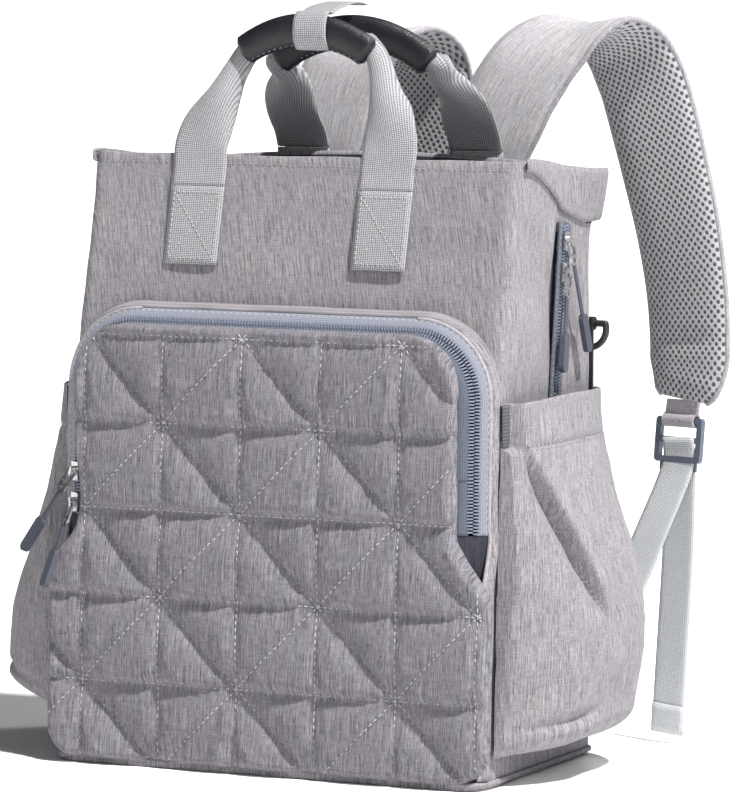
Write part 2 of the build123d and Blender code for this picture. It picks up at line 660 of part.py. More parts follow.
def grip_cover(grip, x0):
    """The leather tube, a little shorter than the core it is on."""
    arc = grip_arc(grip, x0)
    bare = GRIP_BARE / arc.length
    grown = [s + 2 * GRIP_CLEARANCE for s in GRIP_CORE]
    return grip_solid(arc.trim(bare, 1 - bare), GRIP_SHELL) - grip_solid(arc, grown)


def handle_wrap():
    """A loop of webbing round the front grip whose tail lies over the rear grip."""
    x0 = FRONT_HANDLE_X + FRONT_GRIP["half"] * 0.12
    y, z = FRONT_GRIP["y"], FRONT_GRIP["top_z"]
    sag = 2.4  # room for the grip's curve inside the flat loop
    height, depth = GRIP_SHELL[0] / 2 + sag, GRIP_SHELL[1] / 2 + 0.8
    x = (x0 - WRAP_W / 2, x0 + WRAP_W / 2)
    outer = block(x, (y - depth - WRAP_T, y + depth + WRAP_T), (z - height - WRAP_T, z + height + WRAP_T))
    outer = fillet(outer.edges().filter_by(Axis.X), depth * 0.8)
    inner = block((x[0] - 1, x[1] + 1), (y - depth, y + depth), (z - height, z + height))
    inner = fillet(inner.edges().filter_by(Axis.X), depth * 0.6)
    top = z + height + WRAP_T
    rise = 3.0
    tail = prism_x(
        [(y, top - WRAP_T), (WRAP_REACH_Y, top - WRAP_T + rise), (WRAP_REACH_Y, top + rise), (y, top)], *x
    )
    return outer + tail - inner


# ---- shoulder straps -----------------------------------------------------------------------------
def strap_across(i):
    """Direction across the strap at each of its points: it turns a little as it comes down."""
    return (1.0, -0.035 * max(0, i - FOLD_AT), 0.0)


def strap_part(points, first, last):
    """The padded strap between two of its points, thin at its root and fold, narrower at its tip."""
    count = len(points) - 1
    thick = [STRAP_ROOT_T if i < 2 or i == FOLD_AT else STRAP_T for i in range(len(points))]
    widths = [STRAP_W - (STRAP_TAPER if i == count else 0.0) for i in range(len(points))]
    cut = slice(first, last + 1)
    across = [strap_across(i) for i in range(first, last + 1)]
    route = [Vector(*p) for p in points[cut]]
    room = FOLD_GAP / 2
    if first == FOLD_AT:
        route[0] += (route[1] - route[0]).normalized() * room
    else:
        route[-1] += (route[-2] - route[-1]).normalized() * room
    return ribbon([tuple(p) for p in route], widths[cut], thick[cut], across)


def tip_frame(points):
    """A strap's tip, its direction there, and the direction across it."""
    tip, before = Vector(*points[-1]), Vector(*points[-2])
    across = Vector(*strap_across(len(points) - 1)).normalized()
    return tip, (tip - before).normalized(), across


def buckle_plane(points):
    """x across the webbing, y up the buckle, z towards the bag. Its origin is the buckle's upper bar."""
    tip, along, across = tip_frame(points)
    up = Vector(0, BUCKLE_LEAN, 1)
    up = (up - across * up.dot(across)).normalized()
    return Plane(origin=tip + along * LOOP_L, x_dir=across, z_dir=across.cross(up))


def strap_loop(points):
    """Webbing sewn to the pad's tip and looped round the buckle's upper bar."""
    tip, along, across = tip_frame(points)
    plane = buckle_plane(points)
    bore_r = math.hypot(BUCKLE_BAR, BUCKLE_T) / 2 + LOOP_CLEARANCE
    eye = plane * Rot(0, 90, 0) * Cylinder(bore_r + STRAP_WEB_T, STRAP_WEB_W)
    neck = ribbon([tuple(tip + along * SEAM), tuple(plane.origin)], STRAP_WEB_W, 2 * STRAP_WEB_T, tuple(across))
    return eye + neck - plane * Rot(0, 90, 0) * Cylinder(bore_r, 2 * STRAP_WEB_W)


def buckle(points):
    """A ladder-lock: a frame with three bars, and a lip to lift it by."""
    inner_w = BUCKLE_W - 2 * BUCKLE_BAR
    slot_h = (BUCKLE_H - 3 * BUCKLE_BAR) / 2
    middle = BUCKLE_BAR / 2 - BUCKLE_H / 2
    frame = Pos(0, middle, -BUCKLE_T / 2) * extrude(RectangleRounded(BUCKLE_W, BUCKLE_H, 3.0), BUCKLE_T)
    offset = (BUCKLE_BAR + slot_h) / 2
    for y in (middle - offset, middle + offset):
        frame -= Pos(0, y, 0) * Box(inner_w, slot_h, 3 * BUCKLE_T)
    lip = Pos(0, middle - BUCKLE_H / 2 - BUCKLE_LIP / 2, -BUCKLE_T / 4) * Box(inner_w, BUCKLE_LIP, BUCKLE_T / 2)
    return buckle_plane(points) * (frame + lip)


def tail_start(points):
    """Where the free webbing leaves the buckle, on its outer side."""
    plane = buckle_plane(points)
    out = BUCKLE_T / 2 + STRAP_WEB_T / 2 + WEB_CLEARANCE
    return plane.origin - plane.z_dir * out - plane.y_dir * (BUCKLE_H - BUCKLE_BAR)


def webbing_tail(points):
    """The free end of the adjusting webbing, hanging from the buckle."""
    start = tail_start(points)
    drop = start.Z - TAIL_END_Z
    sways = ((0.0, 0.0, 0.0), (0.35, 1.5, 1.0), (0.7, 4.0, 2.5), (1.0, 7.0, 3.5))
    route = [(start.X - x, start.Y - y, start.Z - drop * share) for share, x, y in sways]
    return ribbon(route, STRAP_WEB_W, STRAP_WEB_T, tuple(tip_frame(points)[2]))


def lower_webbing(points, anchor):
    """The webbing from the buckle down to the tab at the bag's lower corner."""
    plane = buckle_plane(points)
    out = BUCKLE_T / 2 + STRAP_WEB_T / 2 + WEB_CLEARANCE
    start = plane.origin + plane.z_dir * out - plane.y_dir * (BUCKLE_H + BUCKLE_LIP - BUCKLE_BAR)
    end = Vector(*anchor)
    middle = start * 0.5 + end * 0.5 + Vector(0, 3.0, -4.0)
    side = 1 if anchor[0] > 0 else -1
    across = [tuple(tip_frame(points)[2]), (0.9, -0.25 * side, 0.0), (1.0, -0.1 * side, 0.0)]
    return ribbon([tuple(start), tuple(middle), tuple(end)], STRAP_WEB_W, STRAP_WEB_T, across)


def lower_tabs():
    """Fabric triangles at the lower back corners that take the adjusting webbing."""
    low, outer = LOWER_TAB_FOOT, HALF_W - 2.0
    x, _, z = ANCHOR_RIGHT
    plane = Plane(origin=(0, BACK_Y, 0), x_dir=(1, 0, 0), z_dir=(0, -1, 0))
    face = make_face(Polyline((outer, low), (outer, z + 12), (x - 16, z + 8), (x - 28, low), close=True))
    tab = extrude(plane * face, -LOWER_TAB_T)
    return [tab, mirrored(tab)]


def strap_yoke():
    """The fabric band over the ends of the straps, across the back."""
    half = max(abs(STRAP_RIGHT[0][0]), abs(STRAP_LEFT[0][0])) + STRAP_W / 2 + 8
    y = (BACK_Y + WEB_T + SEAM, STRAP_RIGHT[0][1] + YOKE_T)
    return block((-half, half), y, (BACK_PAD[2] + YOKE_GAP, STRAP_RIGHT[0][2] - ROOT_GAP))


def ring_tabs():
    """Black webbing tabs at the back edges of the sides, each with an eye for its ring."""
    x, y, z = ring_axis()
    face_y = BACK_Y + RING_TAB_GAP
    back = face_y + RING_TAB_T
    half = RING_TAB_W / 2
    strip = block((x - half, x + half), (face_y, back), (z - RING_TAB_FOOT, z + RING_TAB_TOP))
    eye = Pos(x, y, z) * Rot(0, 90, 0) * Cylinder(RING_WIRE_R + RING_EYE_R, RING_EYE_L)
    eye -= Pos(x, y, z) * Rot(0, 90, 0) * Cylinder(RING_WIRE_R + RING_EYE_CLEARANCE, 3 * RING_EYE_L)
    eye -= block((-2 * BODY_W, 2 * BODY_W), (-2 * BODY_W, back), (0, 2 * RIM_Z))
    tab = strip + eye
    return [tab, mirrored(tab)]


def ring_axis(side=1):
    """The middle of a ring's straight bar, behind its tab."""
    return ((HALF_W - RING_INSET) * side, BACK_Y + RING_TAB_GAP + RING_TAB_T + RING_WIRE_R + 0.5, RING_Z)


def ring(side=1):
    """A D-shaped ring that hangs from its tab: a straight bar along X and a bow below it."""
    x, y, z = ring_axis(side)
    half = RING_HALF_W
    plane = Plane(origin=(x, y, z), x_dir=(1, 0, 0), z_dir=(0, -1, 0))
    bow = plane * ThreePointArc((half, 0), (0, -half - RING_DROP), (-half, 0))
    section = Plane(origin=bow @ 0, z_dir=bow % 0) * Circle(RING_WIRE_R)
    shape = Pos(x, y, z) * Rot(0, 90, 0) * Cylinder(RING_WIRE_R, 2 * half) + sweep(section, path=bow)
    for end in (x - half, x + half):
        shape += Pos(end, y, z) * Sphere(RING_WIRE_R)
    return shape


def parts():
    """Every node and its solids."""
    made = {
        "base_panel": base_panel(),
        "base_board": base_board(),
        "front_wall": front_wall(),
        "back_wall": back_wall(),
        "side_wall_right": side_wall(),
        "side_wall_left": mirrored(side_wall()),
        "lining": lining(),
        "rim_bands": rim_bands(),
        "back_pad": back_pad(),
        "pocket_gusset": pocket_gusset(),
        "pocket_bellows": pocket_bellows(),
        "pocket_lower_cover": pocket_lower_cover(),
        "pocket_flap": pocket_flap(),
        "front_zip_outer_tape": outer_tape(),
        "front_zip_outer_coil": outer_coil(),
        "front_zip_inner_tape": above_split(inner_tape(), True),
        "front_zip_inner_coil": above_split(inner_coil(), True),
        "front_zip_ends": front_zip_ends(),
        "side_zip_tapes": side_zip_tapes(),
        "side_zip_coils": side_zip_coils(),
        "top_closure_front": top_closure(True),
        "top_closure_rear": top_closure(False),
        "side_pocket_right": side_pocket(RIGHT_POCKET_STEPS),
        "side_pocket_left": mirrored(side_pocket(LEFT_POCKET_STEPS)),
        "pocket_elastics": pocket_elastics(),
        "handle_patches": handle_patches(),
        "front_handle_webbing": front_handle_webbing(),
        "front_grip": grip_cover(FRONT_GRIP, FRONT_HANDLE_X),
        "handle_wrap": handle_wrap(),
        "rear_handle_webbing": rear_handle_webbing(),
        "rear_grip": grip_cover(REAR_GRIP, REAR_HANDLE_X),
        "strap_yoke": strap_yoke(),
        "lower_tabs": lower_tabs(),
        "ring_tabs": ring_tabs(),
    }
    for side, points, anchor, sign in (
        ("right", STRAP_RIGHT, ANCHOR_RIGHT, 1),
        ("left", STRAP_LEFT, ANCHOR_LEFT, -1),
    ):
        made[f"strap_upper_{side}"] = strap_part(points, 0, FOLD_AT)
        made[f"strap_lower_{side}"] = strap_part(points, FOLD_AT, len(points) - 1)
        made[f"strap_loop_{side}"] = strap_loop(points)
        made[f"buckle_{side}"] = buckle(points)
        made[f"webbing_tail_{side}"] = webbing_tail(points)
        made[f"lower_webbing_{side}"] = lower_webbing(points, anchor)
        made[f"ring_{side}"] = ring(sign)
    for name, plane, turn, lift, length in pulls():
        frame = pull_plane(plane, turn, lift)
        made[f"slider_{name}"] = slider(plane, turn)
        made[f"tab_{name}"] = frame * pull_tab()
        made[f"pull_{name}"] = [frame * piece for piece in pull(length)]
    return made


def main():
    os.makedirs("parts", exist_ok=True)
    for name, shape in parts().items():
        solids = shape if isinstance(shape, list) else [shape]
        solids = [s for piece in solids for s in (piece.solids() if not isinstance(piece, Solid) else [piece])]
        export_step(solids[0] if len(solids) == 1 else Compound(children=solids), f"parts/{name}.step")


if __name__ == "__main__":
    main()
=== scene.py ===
"""The looks of the diaper backpack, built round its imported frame.

Lengths are millimetres until a mesh is made.
"""
import math

import bpy
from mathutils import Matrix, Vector, noise


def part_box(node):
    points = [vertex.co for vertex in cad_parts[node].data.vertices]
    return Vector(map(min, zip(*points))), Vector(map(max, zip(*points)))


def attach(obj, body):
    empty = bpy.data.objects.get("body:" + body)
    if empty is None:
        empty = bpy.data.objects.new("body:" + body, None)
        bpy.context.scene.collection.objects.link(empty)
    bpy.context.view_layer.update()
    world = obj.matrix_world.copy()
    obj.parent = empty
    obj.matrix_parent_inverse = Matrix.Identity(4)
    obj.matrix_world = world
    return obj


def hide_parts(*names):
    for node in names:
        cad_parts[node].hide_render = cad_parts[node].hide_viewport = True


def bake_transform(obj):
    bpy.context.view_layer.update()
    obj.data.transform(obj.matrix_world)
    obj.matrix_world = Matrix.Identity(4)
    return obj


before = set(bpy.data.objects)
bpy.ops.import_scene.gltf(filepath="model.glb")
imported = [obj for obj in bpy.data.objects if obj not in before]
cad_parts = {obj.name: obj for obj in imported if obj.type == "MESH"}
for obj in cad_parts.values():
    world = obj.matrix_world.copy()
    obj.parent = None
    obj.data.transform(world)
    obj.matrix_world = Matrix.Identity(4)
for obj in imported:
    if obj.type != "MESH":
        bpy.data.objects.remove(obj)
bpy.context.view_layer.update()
MM = 0.001


def corners(node):
    """Lowest and highest corner of a CAD node, in millimetres."""
    low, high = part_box(node)
    return Vector(low) / MM, Vector(high) / MM


# ---- sizes, read from the frame where it holds them ----------------------------------------------
WALL_LOW, WALL_HIGH = corners("front_wall")
BACK_HIGH = corners("back_wall")[1]
FLAP_HIGH = corners("pocket_flap")[1]
HALF_W = WALL_HIGH.x
BACK_Y = BACK_HIGH.y
RIM_Z = WALL_HIGH.z
BACK_RIM_Z = BACK_HIGH.z
KNEE_Y, KNEE_Z = -66.0, 246.0  # where the front wall starts to lean back
FOOT_Y, RIM_Y = WALL_LOW.y, -31.0
POCKET_Y0, POCKET_SLOPE = -90.0, 0.03  # the zip plane's y at the floor, and its lean
ZIP_TILT = math.radians(35.0)
FLAP_HALF_W, FLAP_TOP, FLAP_R = FLAP_HIGH.x, 277.0, 33.0
FOLD_V, ZIP_END_V, ZIP_SPLIT_V, NECK_V = 150.0, 160.0, 194.0, 112.0
SIDE_ZIP_FOOT, SIDE_ZIP_TOP = Vector((0, 18.0, 226.0)), Vector((0, 35.0, 350.0))
FRONT_OUT = Vector((0, -0.97, 0.24))  # out of the leaning front wall, for its stitches
COVER_HALF_W = corners("pocket_lower_cover")[1].x
TAPE_IN_W, COIL_W, COIL_GAP, TAPE_OUT_W = 7.5, 2.4, 1.2, 7.5
ZIP_W = TAPE_IN_W + 2 * COIL_W + COIL_GAP + TAPE_OUT_W

SLOPE = math.atan(POCKET_SLOPE)
UP = Vector((0, math.sin(SLOPE), math.cos(SLOPE)))
OUT = Vector((0, -math.cos(SLOPE), math.sin(SLOPE)))


def pocket_point(x, v, n=0.0):
    """A point across, up and out of the front pocket's plane."""
    return Vector((x, POCKET_Y0, 0)) + UP * v + OUT * n


def front_y(z):
    """y of the front wall at a height."""
    if z < KNEE_Z:
        return FOOT_Y + (KNEE_Y - FOOT_Y) * z / KNEE_Z
    return KNEE_Y + (RIM_Y - KNEE_Y) * (z - KNEE_Z) / (RIM_Z - KNEE_Z)


def smooth(x, low=0.0, high=1.0):
    """0 below low, 1 above high, with an even turn between them."""
    t = min(1.0, max(0.0, (x - low) / (high - low)))
    return t * t * (3 - 2 * t)


def bell(x, width):
    return math.exp(-(x / width) ** 2)


def wave(x, y, z, size, seed=0.0):
    """Slow noise, about -1 to 1, with features of that size in millimetres."""
    return noise.noise(Vector((x / size + seed, y / size - seed, z / size + 2 * seed)))


# ---- materials -----------------------------------------------------------------------------------
class Look:
    """A material whose texture nodes are added and joined by its methods."""

    def __init__(self, name, color, roughness, sheen=0.0, metallic=0.0):
        self.material = bpy.data.materials.new(name)
        self.material.use_nodes = True
        self.nodes, self.links = self.material.node_tree.nodes, self.material.node_tree.links
        self.inputs = self.nodes["Principled BSDF"].inputs
        for socket, value in (
            ("Base Color", (*color, 1)), ("Roughness", roughness), ("Metallic", metallic),
            ("Sheen Weight", sheen), ("Specular IOR Level", 0.25 if sheen else 0.5),
        ):
            self.inputs[socket].default_value = value

    def node(self, kind, **values):
        """A new node, with its input sockets set to numbers and colours or joined to outputs."""
        node = self.nodes.new("ShaderNode" + kind)
        for socket, value in values.items():
            self.put(node.inputs[socket], value)
        return node

    def put(self, socket, value):
        if isinstance(value, bpy.types.NodeSocket):
            self.links.new(value, socket)
        elif isinstance(value, tuple) and socket.type == "RGBA":
            socket.default_value = (*value, 1)
        else:
            socket.default_value = value

    def paint(self, value, socket="Base Color"):
        self.put(self.inputs[socket], value)

    def coordinates(self, scale, uv=False, turn=0.0):
        source = self.nodes.new("ShaderNodeTexCoord").outputs["UV" if uv else "Object"]
        return self.node("Mapping", Scale=scale, Rotation=(0, 0, turn), Vector=source).outputs["Vector"]

    def noise(self, vector, scale=1.0, detail=3.0, roughness=0.55):
        node = self.node("TexNoise", Scale=scale, Detail=detail, Roughness=roughness, Vector=vector)
        return node.outputs["Fac"]

    def wave(self, vector, direction, pitch):
        """Bands pitch millimetres apart, over a vector in metres."""
        node = self.node("TexWave", Scale=0.314 / (pitch * MM), Vector=vector)
        node.bands_direction = direction
        return node.outputs["Fac"]

    def ramp(self, factor, *stops):
        node = self.node("ValToRGB", Fac=factor)
        elements = node.color_ramp.elements
        while len(elements) < len(stops):
            elements.new(0.5)
        for element, (place, color) in zip(elements, stops):
            element.position = place
            element.color = (*color, 1)
        return node.outputs["Color"]

    def mix(self, factor, a, b, mode="MIX"):
        node = self.nodes.new("ShaderNodeMix")
        node.data_type = "RGBA"
        node.blend_type = mode
        for name, value in (("Factor", factor), ("A", a), ("B", b)):
            self.put(node.inputs[name], value)
        return node.outputs["Result"]

    def math(self, operation, *values):
        node = self.nodes.new("ShaderNodeMath")
        node.operation = operation
        for socket, value in zip(node.inputs, values):
            self.put(socket, value)
        return node.outputs["Value"]

    def bump(self, height, strength, distance):
        normal = self.node("Bump", Strength=strength, Distance=distance, Height=height).outputs["Normal"]
        self.paint(normal, "Normal")


def heather(name, light, dark, size=1.0, uv=True):
    """Two-tone woven fabric: fine streaks along the warp, shorter ones across it, and faint tints.

    The warp runs along v of the piece's own UV in metres, or up where it has none.
    """
    look = Look(name, light, 0.88, sheen=0.05)

    def threads(across, along, detail=2.0):
        scale = (across, along, 1.0) if uv else (across, across, along)
        return look.noise(look.coordinates(tuple(c / size for c in scale), uv), 1.0, detail, 0.6)

    warp = look.mix(0.5, threads(1300.0, 42.0), threads(2600.0, 200.0))
    streaks = look.mix(0.2, warp, threads(110.0, 2000.0))
    middle = tuple(0.5 * a + 0.5 * b for a, b in zip(light, dark))
    color = look.ramp(streaks, (0.38, dark), (0.5, middle), (0.62, light))
    tints = look.ramp(threads(420.0, 30.0, 1.0), (0.40, (0.98, 0.99, 1.03)), (0.60, (1.03, 0.99, 0.98)))
    look.paint(look.mix(0.8, color, tints, "MULTIPLY"))
    weave = look.node("TexVoronoi", Scale=1.0, Vector=look.coordinates((1700.0, 1700.0, 1700.0)))
    look.bump(look.mix(0.5, weave.outputs["Distance"], streaks), 0.4, 0.0006)
    return look.material


def ribbed(name, light, dark, pitch=1.6):
    """Webbing: fine ribs across its length, from the piece's own UV in metres."""
    look = Look(name, light, 0.62, sheen=0.1)
    vector = look.coordinates((1.0, 1.0, 1.0), uv=True)
    cell = look.math("MULTIPLY", look.wave(vector, "Y", pitch), look.wave(vector, "X", 1.5))
    cell = look.mix(0.35, cell, look.noise(look.coordinates((900.0, 900.0, 900.0))))
    look.paint(look.ramp(cell, (0.1, dark), (0.65, light)))
    look.bump(cell, 0.5, 0.0006)
    return look.material


def air_mesh(name, light, dark, pitch=3.3):
    """Spacer mesh: staggered rows of oval holes in a soft knit, from the piece's UV in metres."""
    look = Look(name, light, 0.8, sheen=0.15)
    holes = look.nodes.new("ShaderNodeTexVoronoi")
    holes.voronoi_dimensions = "2D"
    scale = (1 / (pitch * MM), 0.8 / (pitch * MM), 1.0)
    look.put(holes.inputs["Randomness"], 0.08)
    look.put(holes.inputs["Scale"], 1.0)
    look.put(holes.inputs["Vector"], look.coordinates(scale, uv=True, turn=math.radians(45)))
    grain = look.noise(look.coordinates((800.0, 800.0, 800.0)))
    hole = look.ramp(holes.outputs["Distance"], (0.2, (0, 0, 0)), (0.42, (1, 1, 1)))
    look.paint(look.mix(hole, dark, look.mix(0.35, light, grain, "MULTIPLY")))
    look.bump(hole, 0.8, 0.001)
    return look.material


def leather(name, light, dark):
    look = Look(name, light, 0.42)
    vector = look.coordinates((1.0, 1.0, 1.0))
    grain = look.node("TexVoronoi", Scale=700.0, Vector=vector)
    grain.feature = "DISTANCE_TO_EDGE"
    slow = look.noise(vector, 60.0)
    look.paint(look.mix(slow, dark, light))
    look.paint(look.math("MULTIPLY_ADD", slow, 0.25, 0.3), "Roughness")
    look.bump(look.ramp(grain.outputs["Distance"], (0.0, (0, 0, 0)), (0.25, (1, 1, 1))), 0.3, 0.0005)
    return look.material


def plain(name, color, roughness, metallic=0.0, grain=600.0, depth=0.15):
    """Moulded plastic, metal or thread: a fine grain in colour, roughness and height."""
    look = Look(name, color, roughness, metallic=metallic)
    fine = look.noise(look.coordinates((grain, grain, grain)))
    dark, light = tuple(c * 0.8 for c in color), tuple(min(1.0, c * 1.12) for c in color)
    look.paint(look.ramp(fine, (0.3, dark), (0.7, light)))
    look.paint(look.math("MULTIPLY_ADD", fine, 0.2, roughness - 0.1), "Roughness")
    look.bump(fine, depth, 0.0003)
    return look.material


HEATHER = heather("heather", (0.375, 0.358, 0.372), (0.09, 0.09, 0.106))
# The quilted front's cloth: the same heather, painted darker as painted shade because the upright quilt gets
# little of the light from above
QUILT_PAINTED_SHADE = heather("quilted", (0.30, 0.288, 0.305), (0.06, 0.06, 0.075))
HEATHER_PLAIN = heather("heather_up", (0.375, 0.358, 0.372), (0.09, 0.09, 0.106), 1.0, False)
STRAP_FABRIC = heather("strap_heather", (0.60, 0.585, 0.60), (0.26, 0.258, 0.275))
LINING = heather("lining", (0.05, 0.05, 0.065), (0.02, 0.02, 0.03), 1.0, False)
WEBBING = ribbed("webbing", (0.56, 0.56, 0.575), (0.13, 0.13, 0.145), 1.15)
SLATE_WEBBING = ribbed("slate_webbing", (0.66, 0.68, 0.695), (0.36, 0.375, 0.39), 1.3)
ELASTIC = ribbed("elastic", (0.15, 0.15, 0.16), (0.03, 0.03, 0.035), 2.2)
TAPE = ribbed("zip_tape", (0.33, 0.345, 0.40), (0.19, 0.20, 0.25), 0.8)
TAPE_DARK = ribbed("zip_tape_inner", (0.13, 0.145, 0.19), (0.065, 0.075, 0.105), 1.0)
COIL = plain("coil", (0.20, 0.225, 0.29), 0.35)
MESH = air_mesh("air_mesh", (0.50, 0.50, 0.52), (0.07, 0.07, 0.078))
BINDING = heather("binding", (0.50, 0.475, 0.495), (0.18, 0.178, 0.205), 0.7, False)
LEATHER = leather("leather", (0.012, 0.013, 0.018), (0.004, 0.0045, 0.007))
METAL = plain("metal", (0.62, 0.62, 0.63), 0.28, 1.0, 300.0, 0.05)
RUBBER = plain("rubber", (0.065, 0.072, 0.095), 0.5)
BLACK_PLASTIC = plain("black_plastic", (0.02, 0.02, 0.023), 0.4)
SLATE_PLASTIC = plain("slate_plastic", (0.10, 0.12, 0.16), 0.4)
THREAD = plain("thread", (0.50, 0.49, 0.50), 0.8, 0.0, 2500.0, 0.5)
THREAD_DARK = plain("thread_dark", (0.30, 0.29, 0.31), 0.8, 0.0, 2500.0, 0.5)
FLOOR = Look("floor", (0.97, 0.97, 0.975), 0.9).material


# ---- mesh helpers --------------------------------------------------------------------------------
def build(name, mesh, material, body, replaces=(), materials=None, smooth_faces=True):
    """Makes an object from (points, faces) or (points, faces, uv) in millimetres, on its body."""
    points, faces, uv = (*mesh, None)[:3]
    data = bpy.data.meshes.new(name)
    data.from_pydata([tuple(Vector(p) * MM) for p in points], [], faces)
    data.validate()
    data.update()
    item = bpy.data.objects.new(name, data)
    bpy.context.scene.collection.objects.link(item)
    for entry in (material if isinstance(material, (list, tuple)) else [material]):
        data.materials.append(entry)
    if materials:
        for face, index in zip(data.polygons, materials):
            face.material_index = index
    for face in data.polygons:
        face.use_smooth = smooth_faces
    if uv:
        layer = data.uv_layers.new(name="flat")
        for loop in data.loops:
            layer.data[loop.index].uv = [c * MM for c in uv[loop.vertex_index]]
    if body:
        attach(item, body)
    if replaces:
        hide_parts(*replaces)
    return item


def lattice(rows, cols, around=False, base=0, flip=False):
    """Quads over a grid of points kept row by row. around joins the last column to the first."""
    faces = []
    for i in range(rows - 1):
        for j in range(cols if around else cols - 1):
            k = (j + 1) % cols
            row, above = base + i * cols, base + (i + 1) * cols
            quad = (row + j, row + k, above + k, above + j)
            faces.append(quad[::-1] if flip else quad)
    return faces


def curve_points(points, step=3.0):
    """A smooth line through points (Catmull-Rom), as positions about step apart."""
    points = [Vector(p) for p in points]
    ends = [2 * points[0] - points[1]] + points + [2 * points[-1] - points[-2]]
    line = []
    for i in range(1, len(ends) - 2):
        a, b, c, d = ends[i - 1 : i + 3]
        count = max(2, round((c - b).length / step))
        for k in range(count):
            t = k / count
            line.append(
                0.5 * (2 * b + (c - a) * t + (2 * a - 5 * b + 4 * c - d) * t * t
                       + (3 * b - a - 3 * c + d) * t ** 3)
            )
    return line + [points[-1]]


def lengths_of(line):
    total, out = 0.0, [0.0]
    for a, b in zip(line, line[1:]):
        total += (b - a).length
        out.append(total)
    return out


def tangent(line, i):
    return (line[min(i + 1, len(line) - 1)] - line[max(i - 1, 0)]).normalized()


def sweep(line, section, across, closed_ends=True):
    """Points and faces of a closed section carried along a line.

    section(share) gives (across, out) pairs, across(share) the direction across.
    """
    points, uv = [], []
    run = lengths_of(line)
    cols = len(section(0.0))
    for i, p in enumerate(line):
        share = run[i] / run[-1]
        along = tangent(line, i)
        side = Vector(across(share))
        side = (side - along * side.dot(along)).normalized()
        out = side.cross(along)
        for a, b in section(share):
            points.append(p + side * a + out * b)
            uv.append((a, run[i]))
    faces = lattice(len(line), cols, around=True)
    if closed_ends:
        faces.append(tuple(range(cols))[::-1])
        faces.append(tuple(range(len(points) - cols, len(points))))
    return points, faces, uv


def flat_section(width, thick, curl=0.0, count=10):
    """A webbing's section: width along a circle's arc of curl radians, with rounded edges."""
    outer, inner = [], []
    for j in range(count + 1):
        s = (j / count - 0.5) * width
        t = thick / 2 * (1.0 if 0 < j < count else 0.45)
        if abs(curl) < 0.02:
            outer.append((s, t))
            inner.append((s, -t))
            continue
        r = width / curl
        angle = s / r
        outer.append(((r + t) * math.sin(angle), (r + t) * math.cos(angle) - r))
        inner.append(((r - t) * math.sin(angle), (r - t) * math.cos(angle) - r))
    return outer + inner[::-1]


def strip(line, width, thick, across):
    """A flat webbing along a line, with one direction across."""
    return sweep(line, lambda s: flat_section(width, thick), lambda s: across)


def ring_section(rx, ry, count=16):
    return [(rx * math.cos(a), ry * math.sin(a)) for a in (2 * math.pi * k / count for k in range(count))]


def tube(line, radius, count=8):
    """Points and faces of a thin round tube along a line."""
    first = (line[1] - line[0]).normalized()
    hint = Vector((0, 0, 1)) if abs(first.z) < 0.8 else Vector((1, 0, 0))
    return sweep(line, lambda s: ring_section(radius, radius, count), lambda s: hint)


def join(parts):
    """Several (points, faces, uv) as one."""
    points, faces, uv = [], [], []
    for p, f, u in parts:
        base = len(points)
        points += p
        faces += [tuple(i + base for i in face) for face in f]
        uv += u if u else [(0, 0)] * len(p)
    return points, faces, uv


STITCH_L, STITCH_GAP, STITCH_R = 3.0, 1.5, 0.42


def stitch(p, along, out, length=STITCH_L, radius=STITCH_R):
    """One thread stitch: a small lens that dips into the cloth at both ends."""
    side = along.cross(out).normalized()
    points = []
    for share, drop, fat in ((-0.5, -0.5, 0.35), (-0.25, 0.25, 1.0), (0.25, 0.25, 1.0), (0.5, -0.5, 0.35)):
        c = p + along * (share * length) + out * (drop * radius)
        for a, b in ((1, 0), (0, 1), (-1, 0), (0, -0.6)):
            points.append(c + side * (a * radius * fat) + out * (b * radius * fat))
    faces = lattice(4, 4, around=True)
    return points, faces + [(3, 2, 1, 0), (12, 13, 14, 15)], None


def stitch_line(line, outs, gap=STITCH_GAP, length=STITCH_L, radius=STITCH_R):
    """Stitches along a line of points, with the direction out of the cloth at each."""
    made, run = [], lengths_of(line)
    place = length / 2
    i = 0
    while place < run[-1] - length / 2:
        while run[i + 1] < place:
            i += 1
        t = (place - run[i]) / max(1e-6, run[i + 1] - run[i])
        p = line[i].lerp(line[i + 1], t)
        along = (line[i + 1] - line[i]).normalized()
        out = outs[i].lerp(outs[i + 1], t).normalized()
        made.append(stitch(p, along, out, length, radius))
        place += length + gap
    return made


def add_stitches(name, parts, body, material=None):
    return build(name, join(parts)[:2], material or THREAD, body)


# ---- front pocket: quilting ----------------------------------------------------------------------
QUILT = 56.0  # side of the stitched squares
QUILT_X0, QUILT_V0 = -18.0, 54.0
QUILT_FACE, QUILT_PUFF = 1.4, 7.4
QUILT_FOOT, QUILT_TOP, QUILT_CORNER = 1.6, 285.0, 36.0
QUILT_WIDE, QUILT_RIGHT, QUILT_LEFT = 157.0, 133.0, 140.0  # half widths: below, and above on each side
ROLL = 7.0  # how far in from its edge the quilt turns back
EDGE_N = -1.6  # where its edge lies behind the zip plane


def quilt_half(v, side):
    """Half width of the quilted front at a height, on one side."""
    upper = QUILT_RIGHT if side > 0 else QUILT_LEFT - 4.0 * bell(v - 178, 26)
    low, high = (NECK_V + 2, ZIP_END_V) if side > 0 else (NECK_V + 12, FOLD_V + 4)
    half = QUILT_WIDE + (upper - QUILT_WIDE) * smooth(v, low, high)
    for edge, corner in ((QUILT_TOP - v, QUILT_CORNER), (v - QUILT_FOOT, 26.0)):
        inner = max(0.0, corner - edge)
        half -= corner - math.sqrt(max(0.0, corner ** 2 - inner ** 2))
    return half


